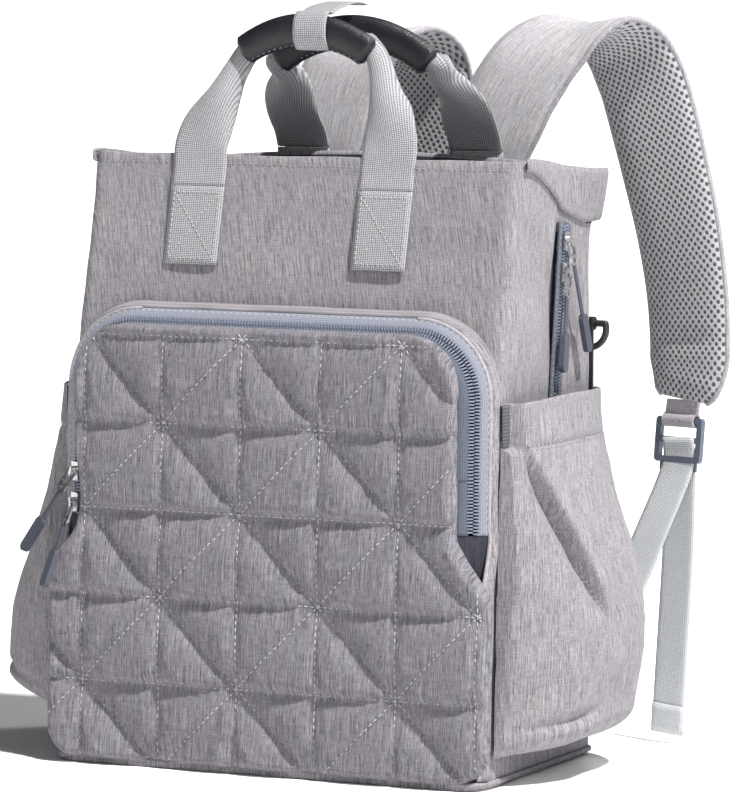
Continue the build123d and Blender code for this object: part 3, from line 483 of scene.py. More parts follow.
def seam_distances(x, v):
    """Distances to the nearest upright, level, rising and falling seam, and if a level one is just below."""
    a, b = (x - QUILT_X0) / QUILT, (v - QUILT_V0) / QUILT
    rising, falling = (a - b) / 2, (a + b) / 2
    root = math.sqrt(2.0) * QUILT
    upright, level = abs(a - round(a)) * QUILT, abs(b - round(b)) * QUILT
    up, down = abs(rising - round(rising)) * root, abs(falling - round(falling)) * root
    return upright, level, up, down, b > round(b)


def quilt_height(x, v):
    """How far the quilt stands out at a point: pillows between the seams, with the falling seams deepest."""
    upright, level, rising, falling, above = seam_distances(x, v)
    fill = 1 - 0.60 * math.exp(-upright / 4.0)
    fill *= 1 - 0.85 * math.exp(-level / (3.5 if above else 8.5))
    fill *= 1 - 0.42 * math.exp(-rising / 4.5)
    fill *= 1 - math.exp(-falling / 7.5)
    pucker = math.sin(0.85 * x + 2.5 * wave(x, v, 0, 26)) * math.exp(-level / 6.0) * (1 - bell(level, 1.5))
    gather = math.sin(0.8 * v + 2.5 * wave(x, v, 4, 26)) * math.exp(-upright / 5.0)
    pucker += gather * (1 - bell(upright, 1.5)) * 0.7
    slow = 1.5 * wave(x, v, 0, 95, 3.0) + 0.3 * wave(x, v, 0, 24, 8.0) * fill
    belly = 2.5 * bell(v - 70, 90) + 1.0
    return QUILT_FACE + QUILT_PUFF * fill + 0.3 * pucker + slow + belly


def rolled(n, edge):
    """That height, turned back to the quilt's edge."""
    roll = math.sqrt(max(0.0, 1 - (1 - min(1.0, edge / ROLL)) ** 2))
    return EDGE_N + (n - EDGE_N) * roll


def edge_distance(x, v):
    return min(quilt_half(v, x) - abs(x), QUILT_TOP - v, v - QUILT_FOOT)


def on_seam(x, v, width=0.9):
    upright, level, rising, falling, _ = seam_distances(x, v)
    return min(upright, level, rising, falling) < width


def simulate_quilt(flat, faces):
    """Blows the pillows up as cloth that is held along its seams and edges, and gives the new points."""
    data = bpy.data.meshes.new("quilt_sim")
    data.from_pydata([tuple(pocket_point(x, v, n) * MM) for x, v, n in flat], [], faces)
    item = bpy.data.objects.new("quilt_sim", data)
    bpy.context.scene.collection.objects.link(item)
    pins = item.vertex_groups.new(name="held")
    held = [i for i, (x, v, n) in enumerate(flat) if edge_distance(x, v) < 2.0 or on_seam(x, v)]
    pins.add(held, 1.0, "REPLACE")
    cloth = item.modifiers.new("cloth", "CLOTH")
    settings = cloth.settings
    settings.quality = 6
    settings.mass = 0.25
    settings.tension_stiffness = settings.compression_stiffness = 12
    settings.shear_stiffness = 4
    settings.bending_stiffness = 0.4
    settings.vertex_group_mass = "held"
    settings.shrink_min = -0.012
    settings.use_pressure = True
    settings.uniform_pressure_force = 1.4
    settings.effector_weights.gravity = 0.25
    cloth.collision_settings.use_collision = False
    scene = bpy.context.scene
    last = 22
    cloth.point_cache.frame_start, cloth.point_cache.frame_end = 1, last
    for frame_number in range(1, last + 1):
        scene.frame_set(frame_number)
    depsgraph = bpy.context.evaluated_depsgraph_get()
    result = [v.co / MM for v in item.evaluated_get(depsgraph).data.vertices]
    scene.frame_set(1)
    bpy.data.objects.remove(item)
    bpy.data.meshes.remove(data)
    return result


def make_quilt():
    """The quilted front in one piece: fixed below the fold, and part of the flap above it."""
    rows, cols = 150, 166
    reach = 0.8  # how far the simulation may move a point
    flat = []
    for i in range(rows + 1):
        v = QUILT_FOOT + (QUILT_TOP - QUILT_FOOT) * i / rows
        left, right = quilt_half(v, -1), quilt_half(v, 1)
        for j in range(cols + 1):
            x = -left + (left + right) * j / cols
            flat.append((x, v, rolled(quilt_height(x, v), edge_distance(x, v))))
    faces = lattice(rows + 1, cols + 1)
    points = [pocket_point(*p) for p in flat]
    for i, moved in enumerate(simulate_quilt(flat, faces)):
        shift = moved - points[i]
        points[i] = points[i] + shift * min(1.0, reach / max(shift.length, 1e-6))
    uv = [(x, v) for x, v, _ in flat]
    width = cols + 1
    border = list(range(width)) + [i * width + cols for i in range(1, rows + 1)]
    border += [rows * width + j for j in range(cols - 1, -1, -1)]
    border += [i * width for i in range(rows - 1, 0, -1)]
    back = len(points)
    points += [points[index] - OUT * 0.4 for index in border] + [pocket_point(0, FOLD_V, EDGE_N - 0.4)]
    uv += [(0, 0)] * (len(border) + 1)
    for k in range(len(border)):
        m = (k + 1) % len(border)
        faces.append((border[m], border[k], back + k, back + m))
        faces.append((back + m, back + k, len(points) - 1))
    # The quilt wears the painted-shade copy of the heather, darker than the same cloth elsewhere
    quilt = build("quilted_front", (points, faces, uv), QUILT_PAINTED_SHADE, None,
                  ("pocket_flap", "pocket_lower_cover"))
    thread = add_stitches("quilt_stitches", quilt_stitches(), None)
    for item in (quilt, thread):
        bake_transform(item)


def quilt_stitches():
    """Stitches along every seam of the quilted front, and one row inside its edge."""
    made = []
    reach = 6 * QUILT
    pitch = STITCH_L + STITCH_GAP
    routes = []
    for k in range(-6, 7):
        x, v = QUILT_X0 + QUILT * k, QUILT_V0 + QUILT * k
        routes += [((x, 0.0), (x, QUILT_TOP)), ((-QUILT_WIDE, v), (QUILT_WIDE, v))]
        x = QUILT_X0 + 2 * QUILT * k
        routes.append(((x - reach, QUILT_V0 - reach), (x + reach, QUILT_V0 + reach)))
        routes.append(((x - reach, QUILT_V0 + reach), (x + reach, QUILT_V0 - reach)))
    for start, end in routes:
        a, b = Vector(start), Vector(end)
        flat = (b - a).normalized()
        along = (Vector((1, 0, 0)) * flat.x + UP * flat.y).normalized()
        for i in range(int((b - a).length / pitch)):
            c = a + flat * (i + 0.5) * pitch
            if edge_distance(c.x, c.y) < 4.0:
                continue
            drift = OUT.cross(along) * (0.5 * wave(c.x, c.y, 0, 40))
            n = rolled(quilt_height(c.x, c.y), edge_distance(c.x, c.y)) + 0.35
            made.append(stitch(pocket_point(c.x, c.y, n) + drift, along, OUT))
    return made


# ---- front pocket: zip and gusset ----------------------------------------------------------------
def u_path(low, step=2.0):
    """(x, v, outward x, outward v) along the flap's edge, from the right leg over the top to the left."""
    side = FLAP_TOP - FLAP_R
    rows = []
    count = max(1, round((side - low) / step))
    rows += [(FLAP_HALF_W, low + (side - low) * i / count, 1.0, 0.0) for i in range(count)]
    turn = max(4, round(FLAP_R * math.pi / 2 / step))
    for i in range(turn + 1):
        a = math.pi / 2 * i / turn
        c = FLAP_HALF_W - FLAP_R
        rows.append((c + FLAP_R * math.cos(a), side + FLAP_R * math.sin(a), math.cos(a), math.sin(a)))
    flat = round(2 * (FLAP_HALF_W - FLAP_R) / step)
    half = FLAP_HALF_W - FLAP_R
    rows += [(half - 2 * half * i / flat, FLAP_TOP, 0.0, 1.0) for i in range(1, flat)]
    mirror = [(-x, v, -a, b) for x, v, a, b in rows[count : count + turn + 1]]
    rows += mirror[::-1]
    rows += [(-x, v, -a, b) for x, v, a, b in rows[:count]][::-1]
    return rows


def band_point(row, a, lift=0.0):
    """A point on the tilted zip band, a outwards from the flap's edge and lift off its surface."""
    x, v, ox, ov = row
    outward = a * math.cos(ZIP_TILT) + lift * math.sin(ZIP_TILT)
    depth = -a * math.sin(ZIP_TILT) + lift * math.cos(ZIP_TILT)
    return pocket_point(x + ox * outward, v + ov * outward, depth)


def band_mesh(rows, profile):
    """A strip along the zip band. profile: closed list of (across, lift)."""
    points = [band_point(row, a, b) for row in rows for a, b in profile]
    run = lengths_of([band_point(row, profile[0][0]) for row in rows])
    uv = [(a, s) for s in run for a, b in profile]
    cols = len(profile)
    faces = lattice(len(rows), cols, around=True)
    faces += [tuple(range(cols))[::-1], tuple(range(len(points) - cols, len(points)))]
    return points, faces, uv


def tooth(p, across, out, along, size):
    """One coil turn: a rounded bar across the chain, with its shoulders bent down."""
    w, t, h = (c / 2 for c in size)
    points = []
    for a, low in ((-1.0, 0.35), (-0.62, 1.0), (0.62, 1.0), (1.0, 0.35)):
        for b, c in ((-1, -1), (1, -1), (0.72, 1), (-0.72, 1)):
            points.append(p + across * (a * w) + along * (b * t) + out * (c * h * (low if c > 0 else 0.7)))
    return points, lattice(4, 4, around=True) + [(3, 2, 1, 0), (12, 13, 14, 15)], None


def spaced(rows, pitch, place):
    """Rows of a path at an even pitch, between its given rows."""
    line = [place(row) for row in rows]
    run = lengths_of(line)
    out, i, s = [], 0, pitch / 2
    while s < run[-1]:
        while run[i + 1] < s:
            i += 1
        t = (s - run[i]) / (run[i + 1] - run[i])
        out.append(tuple(a + (b - a) * t for a, b in zip(rows[i], rows[i + 1])))
        s += pitch
    return out


TEETH_PITCH = 2.1


def band_teeth(rows, a, offset=0.0):
    made = []
    for row in spaced(rows, TEETH_PITCH, lambda r: band_point(r, a)):
        p = band_point(row, a, 0.5)
        across = (band_point(row, a + 1) - band_point(row, a)).normalized()
        out = (band_point(row, a, 1.0) - band_point(row, a)).normalized()
        along = out.cross(across)
        made.append(tooth(p + along * offset, across, out, along, (4.3, 1.3, 2.0)))
    return join(made)


def strip_profile(a0, a1, thick, crown=0.0):
    top = [(a0 + (a1 - a0) * k / 6, thick / 2 + crown * math.sin(math.pi * k / 6)) for k in range(7)]
    return top + [(a1, -thick / 2), (a0, -thick / 2)]


def make_front_zip():
    rows = u_path(ZIP_END_V)
    above = [row for row in rows if row[1] > ZIP_SPLIT_V - 2]
    middle, spread = TAPE_IN_W + COIL_W + COIL_GAP / 2, 2.2
    coil_in, coil_out = middle - spread, middle + spread
    build("front_tape_outer", band_mesh(rows, strip_profile(coil_out + 0.6, ZIP_W + 0.6, 1.0, 0.5)),
          TAPE, "bag", ("front_zip_outer_tape",))
    build("front_teeth_outer", band_teeth(rows, coil_out)[:2], COIL, "bag",
          ("front_zip_outer_coil",), smooth_faces=False)
    build("front_tape_inner", band_mesh(above, strip_profile(-0.6, coil_in - 0.6, 1.0, 1.0)),
          TAPE_DARK, "flap", ("front_zip_inner_tape",))
    build("front_teeth_inner", band_teeth(above, coil_in, TEETH_PITCH / 2)[:2], COIL, "flap",
          ("front_zip_inner_coil",), smooth_faces=False)
    ends, tapes = [], []
    for side in (1, -1):
        leg = [row for row in rows if row[1] <= ZIP_SPLIT_V + 2 and row[0] * side > 0]
        tapes.append(band_mesh(leg, strip_profile(0.3, coil_in - 0.6, 1.0, 0.8)))
        ends.append(band_teeth(leg, coil_in, TEETH_PITCH / 2))
    tape = build("front_tape_ends", join(tapes), TAPE_DARK, "bag")
    build("front_teeth_ends", join(ends)[:2], COIL, "bag", ("front_zip_ends",),
          smooth_faces=False)
    outs = [(band_point(row, 0, 1) - band_point(row, 0)).normalized() for row in rows]
    line = [band_point(row, ZIP_W - 1.6, 0.75) for row in rows]
    add_stitches("front_tape_stitches", stitch_line(line, outs), "bag")


def make_gusset():
    """The pocket's side strip: from the zip's outer edge, with a piped edge, back to the front wall."""
    low = 6.0
    rows = u_path(low, 3.0)
    points, uv, pipe = [], [], []
    depth_steps = 8
    for row in rows:
        x, v, ox, ov = row
        edge = band_point(row, ZIP_W) if v > ZIP_END_V else None
        if edge is None:
            share = smooth(v, NECK_V, ZIP_END_V)
            wide = (COVER_HALF_W - FLAP_HALF_W) + 1.2 * share
            edge = pocket_point(x + ox * wide, v, -2.5 - (ZIP_W * math.sin(ZIP_TILT) - 2.5) * share)
        pipe.append(edge + OUT * 0.4)
        wall_y = front_y(edge.z) + 3.0
        for k in range(depth_steps + 1):
            t = k / depth_steps
            swell = 3.2 * math.sin(math.pi * t) + 0.8 * wave(x, v, 20 * t, 26, 4.0)
            p = Vector((edge.x + ox * swell, edge.y + (wall_y - edge.y) * t, edge.z + ov * swell))
            points.append(p)
            uv.append((p.y, p.z))
    faces = lattice(len(rows), depth_steps + 1, flip=True)
    skin = build("pocket_gusset_skin", (points, faces, uv), HEATHER, "bag",
                 ("pocket_gusset",))
    thicken(skin, 1.2)
    build("pocket_piping", tube(pipe, 1.5)[:2], BINDING, "bag")


def thicken(item, thickness):
    modifier = item.modifiers.new("thickness", "SOLIDIFY")
    modifier.thickness = thickness * MM
    modifier.offset = -1
    apply_modifiers(item)


def apply_modifiers(item):
    depsgraph = bpy.context.evaluated_depsgraph_get()
    depsgraph.update()
    data = bpy.data.meshes.new_from_object(item.evaluated_get(depsgraph), depsgraph=depsgraph)
    item.modifiers.clear()
    item.data = data


# ---- box -----------------------------------------------------------------------------------------
def rim_z(x, y):
    """Height of the open rim above a point of the outline."""
    arch = BACK_RIM_Z - 8.0 * (x / HALF_W) ** 2
    t = smooth(y, RIM_Y, BACK_Y)
    return (RIM_Z + 0.8 * wave(x, 0, 0, 50)) * (1 - t) + arch * t


def outline(z, count_side=40, count_front=84):
    """Points round the box at a height: (x, y, outward x, outward y), from the front left corner."""
    y0, y1, r, half = front_y(z), BACK_Y, 9.0, HALF_W
    rows = []

    def arc(cx, cy, start):
        for k in range(7):
            a = math.radians(start + 90 * k / 6)
            rows.append((cx + r * math.cos(a), cy + r * math.sin(a), math.cos(a), math.sin(a)))

    arc(r - half, y0 + r, 180)
    rows.extend((r - half + (2 * half - 2 * r) * k / count_front, y0, 0, -1)
                for k in range(1, count_front))
    arc(half - r, y0 + r, 270)
    rows.extend((half, y0 + r + (y1 - y0 - 2 * r) * k / count_side, 1, 0) for k in range(1, count_side))
    arc(half - r, y1 - r, 0)
    rows.extend((half - r - (2 * half - 2 * r) * k / count_front, y1, 0, 1)
                for k in range(1, count_front))
    arc(r - half, y1 - r, 90)
    rows.extend((-half, y1 - r - (y1 - y0 - 2 * r) * k / count_side, -1, 0) for k in range(1, count_side))
    return rows


def flare(y, z):
    """How far the sides spread at the back of the rim."""
    return 7.0 * smooth(y, 30, BACK_Y) * smooth(z, 330, 385)


def shell_offset(x, y, z, nx, ny):
    """How far the cloth is from the plain box: slow waves, folds near the rim, hollows by the side zip."""
    push = 1.1 * wave(x, y, z, 70, 1.0) + 0.5 * wave(x, y, z, 22, 2.0)
    if abs(nx) > 0.9:
        hollow = bell(y - 30, 30) * smooth(z, 230, 300) * (1 - 0.5 * smooth(z, 345, 385))
        push -= 2.2 * hollow
        push += 1.6 * math.sin((y * 0.6 + z) * 0.055) * smooth(z, 240, 300) * bell(y + 10, 45)
        run = SIDE_ZIP_TOP - SIDE_ZIP_FOOT
        beside = abs(y - SIDE_ZIP_FOOT.y - run.y * (z - SIDE_ZIP_FOOT.z) / run.z)  # from the side zip's line
        push -= (1 - smooth(beside, 12, 26)) * smooth(z, 195, 215) * max(0.0, push)
        push -= 2.2 * (1 - smooth(beside, 5, 10)) * smooth(z, 195, 215)
    if ny < -0.9:
        push += 0.9 * math.sin(z * 0.05 + x * 0.012) * smooth(z, 300, 340)
        push -= 1.2 * bell(abs(x + 7) - 67, 26) * bell(z - 318, 12)
    return push


def make_shell():
    foot, top_z, rows = 2.0, 391.0, 110
    heights = [foot + (top_z - foot) * k / rows for k in range(rows + 1)]
    ring = len(outline(100.0))
    points, uv = [], []
    for z in heights:
        share = z / RIM_Z
        for x, y, nx, ny in outline(z):
            top = rim_z(x, y)
            height = z if share < 0.85 else 0.85 * RIM_Z + (top - 0.85 * RIM_Z) * (share - 0.85) / 0.15
            push = shell_offset(x, y, height, nx, ny)
            spread = flare(y, height) if nx else 0.0
            points.append((x + nx * (push + spread), y + ny * push * (0.3 if ny > 0.5 else 1), height))
            uv.append((x + y, height))
    rim = points[-ring:]
    for inset, drop in ((1.2, -0.9), (3.2, -0.6), (4.2, 1.5)):
        for (x, y, z), (_, _, nx, ny) in zip(rim, outline(RIM_Z)):
            points.append((x - nx * inset, y - ny * inset, z - drop))
            uv.append((x + y, z))
    for depth in (8.0, 20.0, 34.0):
        for (x, y, z), (_, _, nx, ny) in zip(rim, outline(RIM_Z)):
            lean = 0.24 * depth if ny < -0.5 else 0.0
            points.append((x - nx * 4.6, y - ny * 4.6 - lean, z - depth))
            uv.append((x + y, z))
    total = len(points) // ring
    faces = lattice(total, ring, around=True)
    row_of = [k // ring for k in range(len(faces))]
    indices = [1 if r >= len(heights) + 2 else 0 for r in row_of]
    build("body_shell", (points, faces, uv), [HEATHER, LINING], "bag",
          ("front_wall", "back_wall", "side_wall_right", "side_wall_left"), indices)


def make_rim_seams():
    """Top-stitching under the front rim, and the folded bands at the top of the sides."""
    line, z = [], RIM_Z - 5.0
    for k in range(60):
        x = -HALF_W + 8 + (2 * HALF_W - 16) * k / 59
        line.append(Vector((x, front_y(z) - shell_offset(x, front_y(z), z, 0, -1) - 0.1, z)))
    made = stitch_line(line, [FRONT_OUT] * len(line), 2.2, 2.2, 0.3)
    add_stitches("rim_stitches", made, "bag", THREAD_DARK)
    for side, name in ((1, "right"), (-1, "left")):
        points, uv = [], []
        rows, cols = 46, 16
        for i in range(rows + 1):
            t = i / rows
            y = RIM_Y + 3 + (BACK_Y - RIM_Y - 1) * t
            top = rim_z(HALF_W, y) + 0.6
            deep = 5.0 + 27.0 * smooth(t, 0.0, 0.85) + 2.0 * math.sin(math.pi * t)
            for j in range(cols + 1):
                s = j / cols
                z = top - deep * s
                swell = 0.9 + 0.5 * math.sin(math.pi * s) * math.sin(math.pi * min(1, t * 1.1))
                swell += shell_offset(HALF_W, y, z, 1, 0) - (0.9 if j in (0, cols) else 0.0)
                x = HALF_W + flare(y, z) + swell
                points.append((side * x, y, z + (1.0 if j == 0 else 0)))
                uv.append((y, z))
        faces = lattice(rows + 1, cols + 1, flip=side > 0)
        band = build(f"rim_fold_{name}", (points, faces, uv), HEATHER, "bag",
                     ("rim_bands",) if side > 0 else ())
        thicken(band, 1.6)


def make_base():
    """A soft welt round the foot of the box, and the base's own skin stays the CAD's."""
    z = 3.4
    loop = []
    for x, y, nx, ny in outline(z):
        front = y < FOOT_Y + 12
        loop.append(Vector((x + nx * 0.6, y + ny * (12.5 if front and ny < -0.3 else 0.6), z)))
    loop.append(loop[0])
    build("base_piping", tube(loop, 2.0)[:2], HEATHER_PLAIN, "bag")


def make_back_pad():
    low, high = corners("back_pad")
    rows, cols = 110, 92
    points, uv = [], []
    for i in range(rows + 1):
        v = low.z + (high.z - low.z) * i / rows
        corner = 24.0
        inner = max(0.0, corner - min(v - low.z, high.z - v))
        half = high.x - corner + math.sqrt(max(0.0, corner ** 2 - inner ** 2))
        for j in range(cols + 1):
            s = 2 * j / cols - 1
            x = half * s
            edge = min(half - abs(x), v - low.z, high.z - v)
            roll = math.sqrt(max(0.0, 1 - (1 - min(1.0, edge / 9.0)) ** 2))
            channel = 0.55 * bell(abs(x) - 58, 5)
            channel += 0.5 * bell((v - low.z) % 97 - 48, 4) * smooth(58 - abs(x), 0, 4)
            points.append((x, low.y + 0.4 + 9.5 * roll * (1 - channel) + 0.6 * wave(x, 0, v, 40), v))
            uv.append((x, v))
    faces = lattice(rows + 1, cols + 1, flip=True)
    pad = build("back_pad_mesh", (points, faces, uv), MESH, "bag", ("back_pad",))


# ---- side zip ------------------------------------------------------------------------------------
def make_side_zip():
    foot, top = SIDE_ZIP_FOOT, SIDE_ZIP_TOP
    up = (top - foot).normalized()
    length = (top - foot).length
    tapes, teeth, stitches = [], [], []
    for side in (1, -1):
        out = Vector((side, 0, 0))
        across = up.cross(out)
        centre = HALF_W + 0.6
        for hand in (1, -1):
            line = [Vector((side * centre, foot.y, foot.z)) + up * (length * k / 30) for k in range(31)]
            line = [p + across * hand * 5.9 for p in line]
            tapes.append(strip(line, 6.2, 1.3, across))
            count = int(length / TEETH_PITCH)
            for k in range(count):
                p = Vector((side * (centre + 0.4), foot.y, foot.z))
                p = p + up * (k + 0.5 + 0.25 * hand) * TEETH_PITCH
                teeth.append(tooth(p + across * hand * 1.6, across, out, up, (3.0, 1.3, 1.9)))
            edge = [p + across * hand * 2.2 + out * 0.9 for p in line]
            stitches += stitch_line(edge, [out] * len(edge), 2.0, 2.2, 0.3)
    build("side_tapes", join(tapes), TAPE_DARK, "bag", ("side_zip_tapes",))
    build("side_teeth", join(teeth)[:2], COIL, "bag", ("side_zip_coils",),
          smooth_faces=False)
    add_stitches("side_tape_stitches", stitches, "bag", THREAD_DARK)


# ---- side pockets --------------------------------------------------------------------------------
POCKET_Y = (-77.0, 83.0)
POCKET_TOP, HEM_DROP = 240.0, 27.0
RIGHT_POCKET = {"side": 1, "foot": 19.0, "reach": 54.0, "low": 0.86, "mouth": 0.30}
LEFT_POCKET = {"side": -1, "foot": 30.0, "reach": 72.0, "low": 1.0, "mouth": 0.22}


def pocket_surface(pocket, u, w):
    """A side pocket's outer skin. u runs from front to back, w from foot to hem."""
    side, foot = pocket["side"], pocket["foot"]
    z = foot + (POCKET_TOP - foot) * w
    front = front_y(z) + 1.0
    y = max(POCKET_Y[0] + (POCKET_Y[1] - POCKET_Y[0]) * u, front)
    under = math.sqrt(max(0.0, 1 - (1 - min(1.0, w / 0.10)) ** 2))
    fall = 1 - (1 - pocket["mouth"]) * smooth(w, 0.18 if side < 0 else 0.34, 1.02)
    fat = (pocket["low"] + (1 - pocket["low"]) * smooth(w, 0.05, 0.3)) * fall * (0.12 + 0.88 * under)
    round_u = (1 - abs(2 * u - 1) ** 2.8) ** 0.7
    x = pocket["reach"] * fat * round_u * (1 + 0.24 * (u - 0.5))
    line = 0.15 + 0.52 * (0.87 - w)
    past = u - line
    depth = 14.0 * math.sin(math.pi * min(1.0, max(0.0, (0.885 - w) / 0.50))) ** 0.6
    x -= depth * (math.exp(past / 0.055) if past < 0 else math.exp(-past / 0.006))
    x += 0.25 * depth * math.exp(-past / 0.12) * smooth(past, 0.0, 0.012) if past > 0 else 0.0
    ripple = math.sin(8.0 * u + 6.0 * w + 1.5 * wave(50 * u, 50 * w, 0, 30, side))
    x += 1.8 * ripple * math.sin(math.pi * u) * (1 - w)
    x -= 5.0 * bell(w - 0.085 - 0.10 * (u - 0.1), 0.016) * (1 - smooth(u, 0.25, 0.42)) * round_u
    x += 3.0 * bell(w - 0.05 - 0.05 * u, 0.03) * (1 - smooth(u, 0.3, 0.5)) * round_u
    fold = 0.62 - 0.25 * (1 - w)
    x -= 2.6 * bell(u - fold, 0.018 + 0.03 * (1 - w)) * smooth(w, 0.25, 0.5) * (1 - smooth(w, 0.84, 0.9))
    x += 1.4 * wave(0, y, z, 30, 5.0 + side) + 0.5 * wave(0, y, z, 11, 9.0)
    x -= 1.5 * bell(z - (POCKET_TOP - HEM_DROP), 2.2) * round_u
    x *= 1 - (1 - smooth(u, 0.12, 0.145)) * smooth(w, 0.865, 0.885)
    lift = 2.5 * math.sin(math.pi * u) * smooth(w, 0.8, 1.0)
    return Vector((side * (HALF_W + 1.5 + max(0.0, x)), y, z + lift))


def make_side_pockets():
    for pocket, name in ((RIGHT_POCKET, "right"), (LEFT_POCKET, "left")):
        side = pocket["side"]
        rows, cols = 124, 128
        points = [pocket_surface(pocket, j / cols, i / rows)
                  for i in range(rows + 1) for j in range(cols + 1)]
        top = points[-cols - 1 :]
        for inset, drop in ((0.8, -0.7), (2.0, 0.0), (2.4, 4.0), (3.0, 40.0)):
            points += [p - Vector((side * min(inset, abs(p.x) - HALF_W - 0.2), 0, drop)) for p in top]
        uv = []
        for start in range(0, len(points), cols + 1):
            row = points[start : start + cols + 1]
            uv += [(run, p.z) for run, p in zip(lengths_of(row), row)]
        faces = lattice(rows + 5, cols + 1, flip=side < 0)
        build(f"side_pocket_{name}_skin", (points, faces, uv), HEATHER, "bag",
              (f"side_pocket_{name}",))
        made = []
        for drop in (HEM_DROP - 1.5, HEM_DROP + 1.5):
            w = 1 - drop / (POCKET_TOP - pocket["foot"])
            line = [pocket_surface(pocket, k / 60, w) + Vector((side * 0.3, 0, 0)) for k in range(9, 60)]
            made += stitch_line(line, [Vector((side, 0, 0.1))] * len(line), 2.0, 2.4, 0.34)
        add_stitches(f"side_pocket_{name}_stitches", made, "bag", THREAD_DARK)
        band = [Vector((side * (HALF_W + 2.6), front_y(POCKET_TOP) + 10.5, POCKET_TOP + 1 - 29 * k / 12))
                for k in range(13)]
        build(f"pocket_elastic_{name}", strip(band, 21.0, 1.6, (0.02 * side, 1, 0)), ELASTIC, "bag",
              ("pocket_elastics",) if side > 0 else ())


# ---- handles -------------------------------------------------------------------------------------
WEB_W, WEB_T = 38.0, 1.6
PATCH_LOW, PATCH_TOP, REAR_PATCH_LOW, REAR_PATCH_TOP = 322.0, 371.0, 341.0, 391.0
FRONT_HANDLE = {"x": -7.0, "leg": 67.0, "y": -15.0, "half": 48.5, "end": 455.0, "top": 472.0}
REAR_HANDLE = {"x": 5.0, "leg": 63.0, "y": 30.0, "half": 58.0, "end": 447.0, "top": 470.0}
GRIP_H, GRIP_D = 21.0, 12.0


def grip_line(handle, step=2.0):
    """The arc through the grip's two ends and its top."""
    half, rise = handle["half"], handle["top"] - handle["end"]
    r = (half * half + rise * rise) / (2 * rise)
    swing = math.asin(half / r)
    count = round(2 * half / step)
    line = []
    for k in range(count + 1):
        a = swing * (2 * k / count - 1)
        line.append(Vector((handle["x"] + r * math.sin(a), handle["y"], handle["top"] - r + r * math.cos(a))))
    return line


def box_stitches(x, low, high, place, out):
    """The square and cross of stitches that hold a webbing end. place(dx, z) gives the surface point."""
    half = WEB_W / 2 - 3
    square = [(-half, low + 3), (half, low + 3), (half, high - 4), (-half, high - 4), (-half, low + 3)]
    routes = list(zip(square, square[1:]))
    routes += [((-half, low + 3), (half, high - 4)), ((half, low + 3), (-half, high - 4))]
    made = []
    for a, b in routes:
        line = [place(x + a[0] + (b[0] - a[0]) * k / 12, a[1] + (b[1] - a[1]) * k / 12) for k in range(13)]
        made += stitch_line(line, [out] * len(line), 1.1, 2.4, 0.32)
    return made


def leg_pieces(handle, route, side):
    """One webbing leg, which curls round the grip's end at its top."""
    x0 = handle["x"]
    arc = grip_line(handle)
    tip = arc[0] if side < 0 else arc[-1]
    inner = arc[7] if side < 0 else arc[-8]
    points = [(x0 + side * handle["leg"], y, z) for y, z in route[:-1]]
    y, z = route[-1]
    points.append((x0 + side * (handle["leg"] - 7.0), y, z))
    line = curve_points([*points, tuple(tip), tuple(inner)], 2.5)

    def section(share):
        fold = smooth(share, 0.18, 0.9)
        return flat_section(WEB_W * (1 - 0.10 * fold), WEB_T, 4.9 * fold, 14)

    return sweep(line, section, lambda s: (1, 0, 0))


LEAN = Vector((0, -0.97, 0.235))  # out of the front wall, at the patches


def front_patch_point(x, z, lift=0.0):
    """A point on the front wall, lifted along its slope."""
    return Vector((x, front_y(z), z)) + LEAN * lift


def make_handles():
    run = (RIM_Y - KNEE_Y) / (RIM_Z - KNEE_Z)
    patches, stitches = [], []
    for side in (-1, 1):
        x = FRONT_HANDLE["x"] + side * FRONT_HANDLE["leg"]
        line = [front_patch_point(x, PATCH_LOW - 1 + (PATCH_TOP - PATCH_LOW + 1) * k / 16, 1.3)
                for k in range(17)]
        patches.append(strip(line, WEB_W, WEB_T, (1, 0, 0)))
        stitches += box_stitches(x, PATCH_LOW, PATCH_TOP, lambda a, z: front_patch_point(a, z, 2.3), LEAN)
        x = REAR_HANDLE["x"] + side * REAR_HANDLE["leg"]
        line = [Vector((x, BACK_Y + 1.0, REAR_PATCH_LOW + (REAR_PATCH_TOP - REAR_PATCH_LOW) * k / 12))
                for k in range(13)]
        patches.append(strip(line, WEB_W, WEB_T, (1, 0, 0)))
    build("handle_ends", join(patches), WEBBING, "bag", ("handle_patches",))
    add_stitches("handle_end_stitches", stitches, "bag")
    y0 = front_y(PATCH_TOP) - 1.3
    front = [(y0, PATCH_TOP + 0.6), (y0 + 14 * run, PATCH_TOP + 14),
             (y0 + 30 * run - 1.5, PATCH_TOP + 30), (-27.0, 428.0)]
    rear = [(BACK_Y + 0.8, REAR_PATCH_TOP + 0.6), (BACK_Y - 5, REAR_PATCH_TOP + 12),
            (63.0, 419.0), (44.0, 434.0)]
    for handle, route, body, name in (
        (FRONT_HANDLE, front, "front_handle", "front"),
        (REAR_HANDLE, rear, "rear_handle", "rear"),
    ):
        build(f"{name}_legs", join([leg_pieces(handle, route, side) for side in (-1, 1)]), WEBBING, body,
              (f"{name}_handle_webbing",))
        arc = grip_line(handle)[2:-2]

        def section(share):
            fat = 1 - 0.05 * math.cos(2 * math.pi * share)
            fat -= 0.25 * (1 - smooth(min(share, 1 - share), 0, 0.012))
            return [(a * fat, b * fat) for a, b in ring_section(GRIP_D / 2, GRIP_H / 2, 24)]

        build(f"{name}_grip_leather", sweep(arc, section, lambda s: (0, 1, 0)), LEATHER, body,
              (f"{name}_grip",))
        seams = []
        for dy in (-GRIP_D * 0.24, GRIP_D * 0.24):
            line = [p + Vector((0, dy, -GRIP_H / 2 * 0.9)) for p in arc[2:-2]]
            seams += stitch_line(line, [Vector((0, dy / 8, -1)).normalized()] * len(line), 1.6, 2.6, 0.35)
        add_stitches(f"{name}_grip_stitches", seams, body, THREAD_DARK)
    make_wrap()


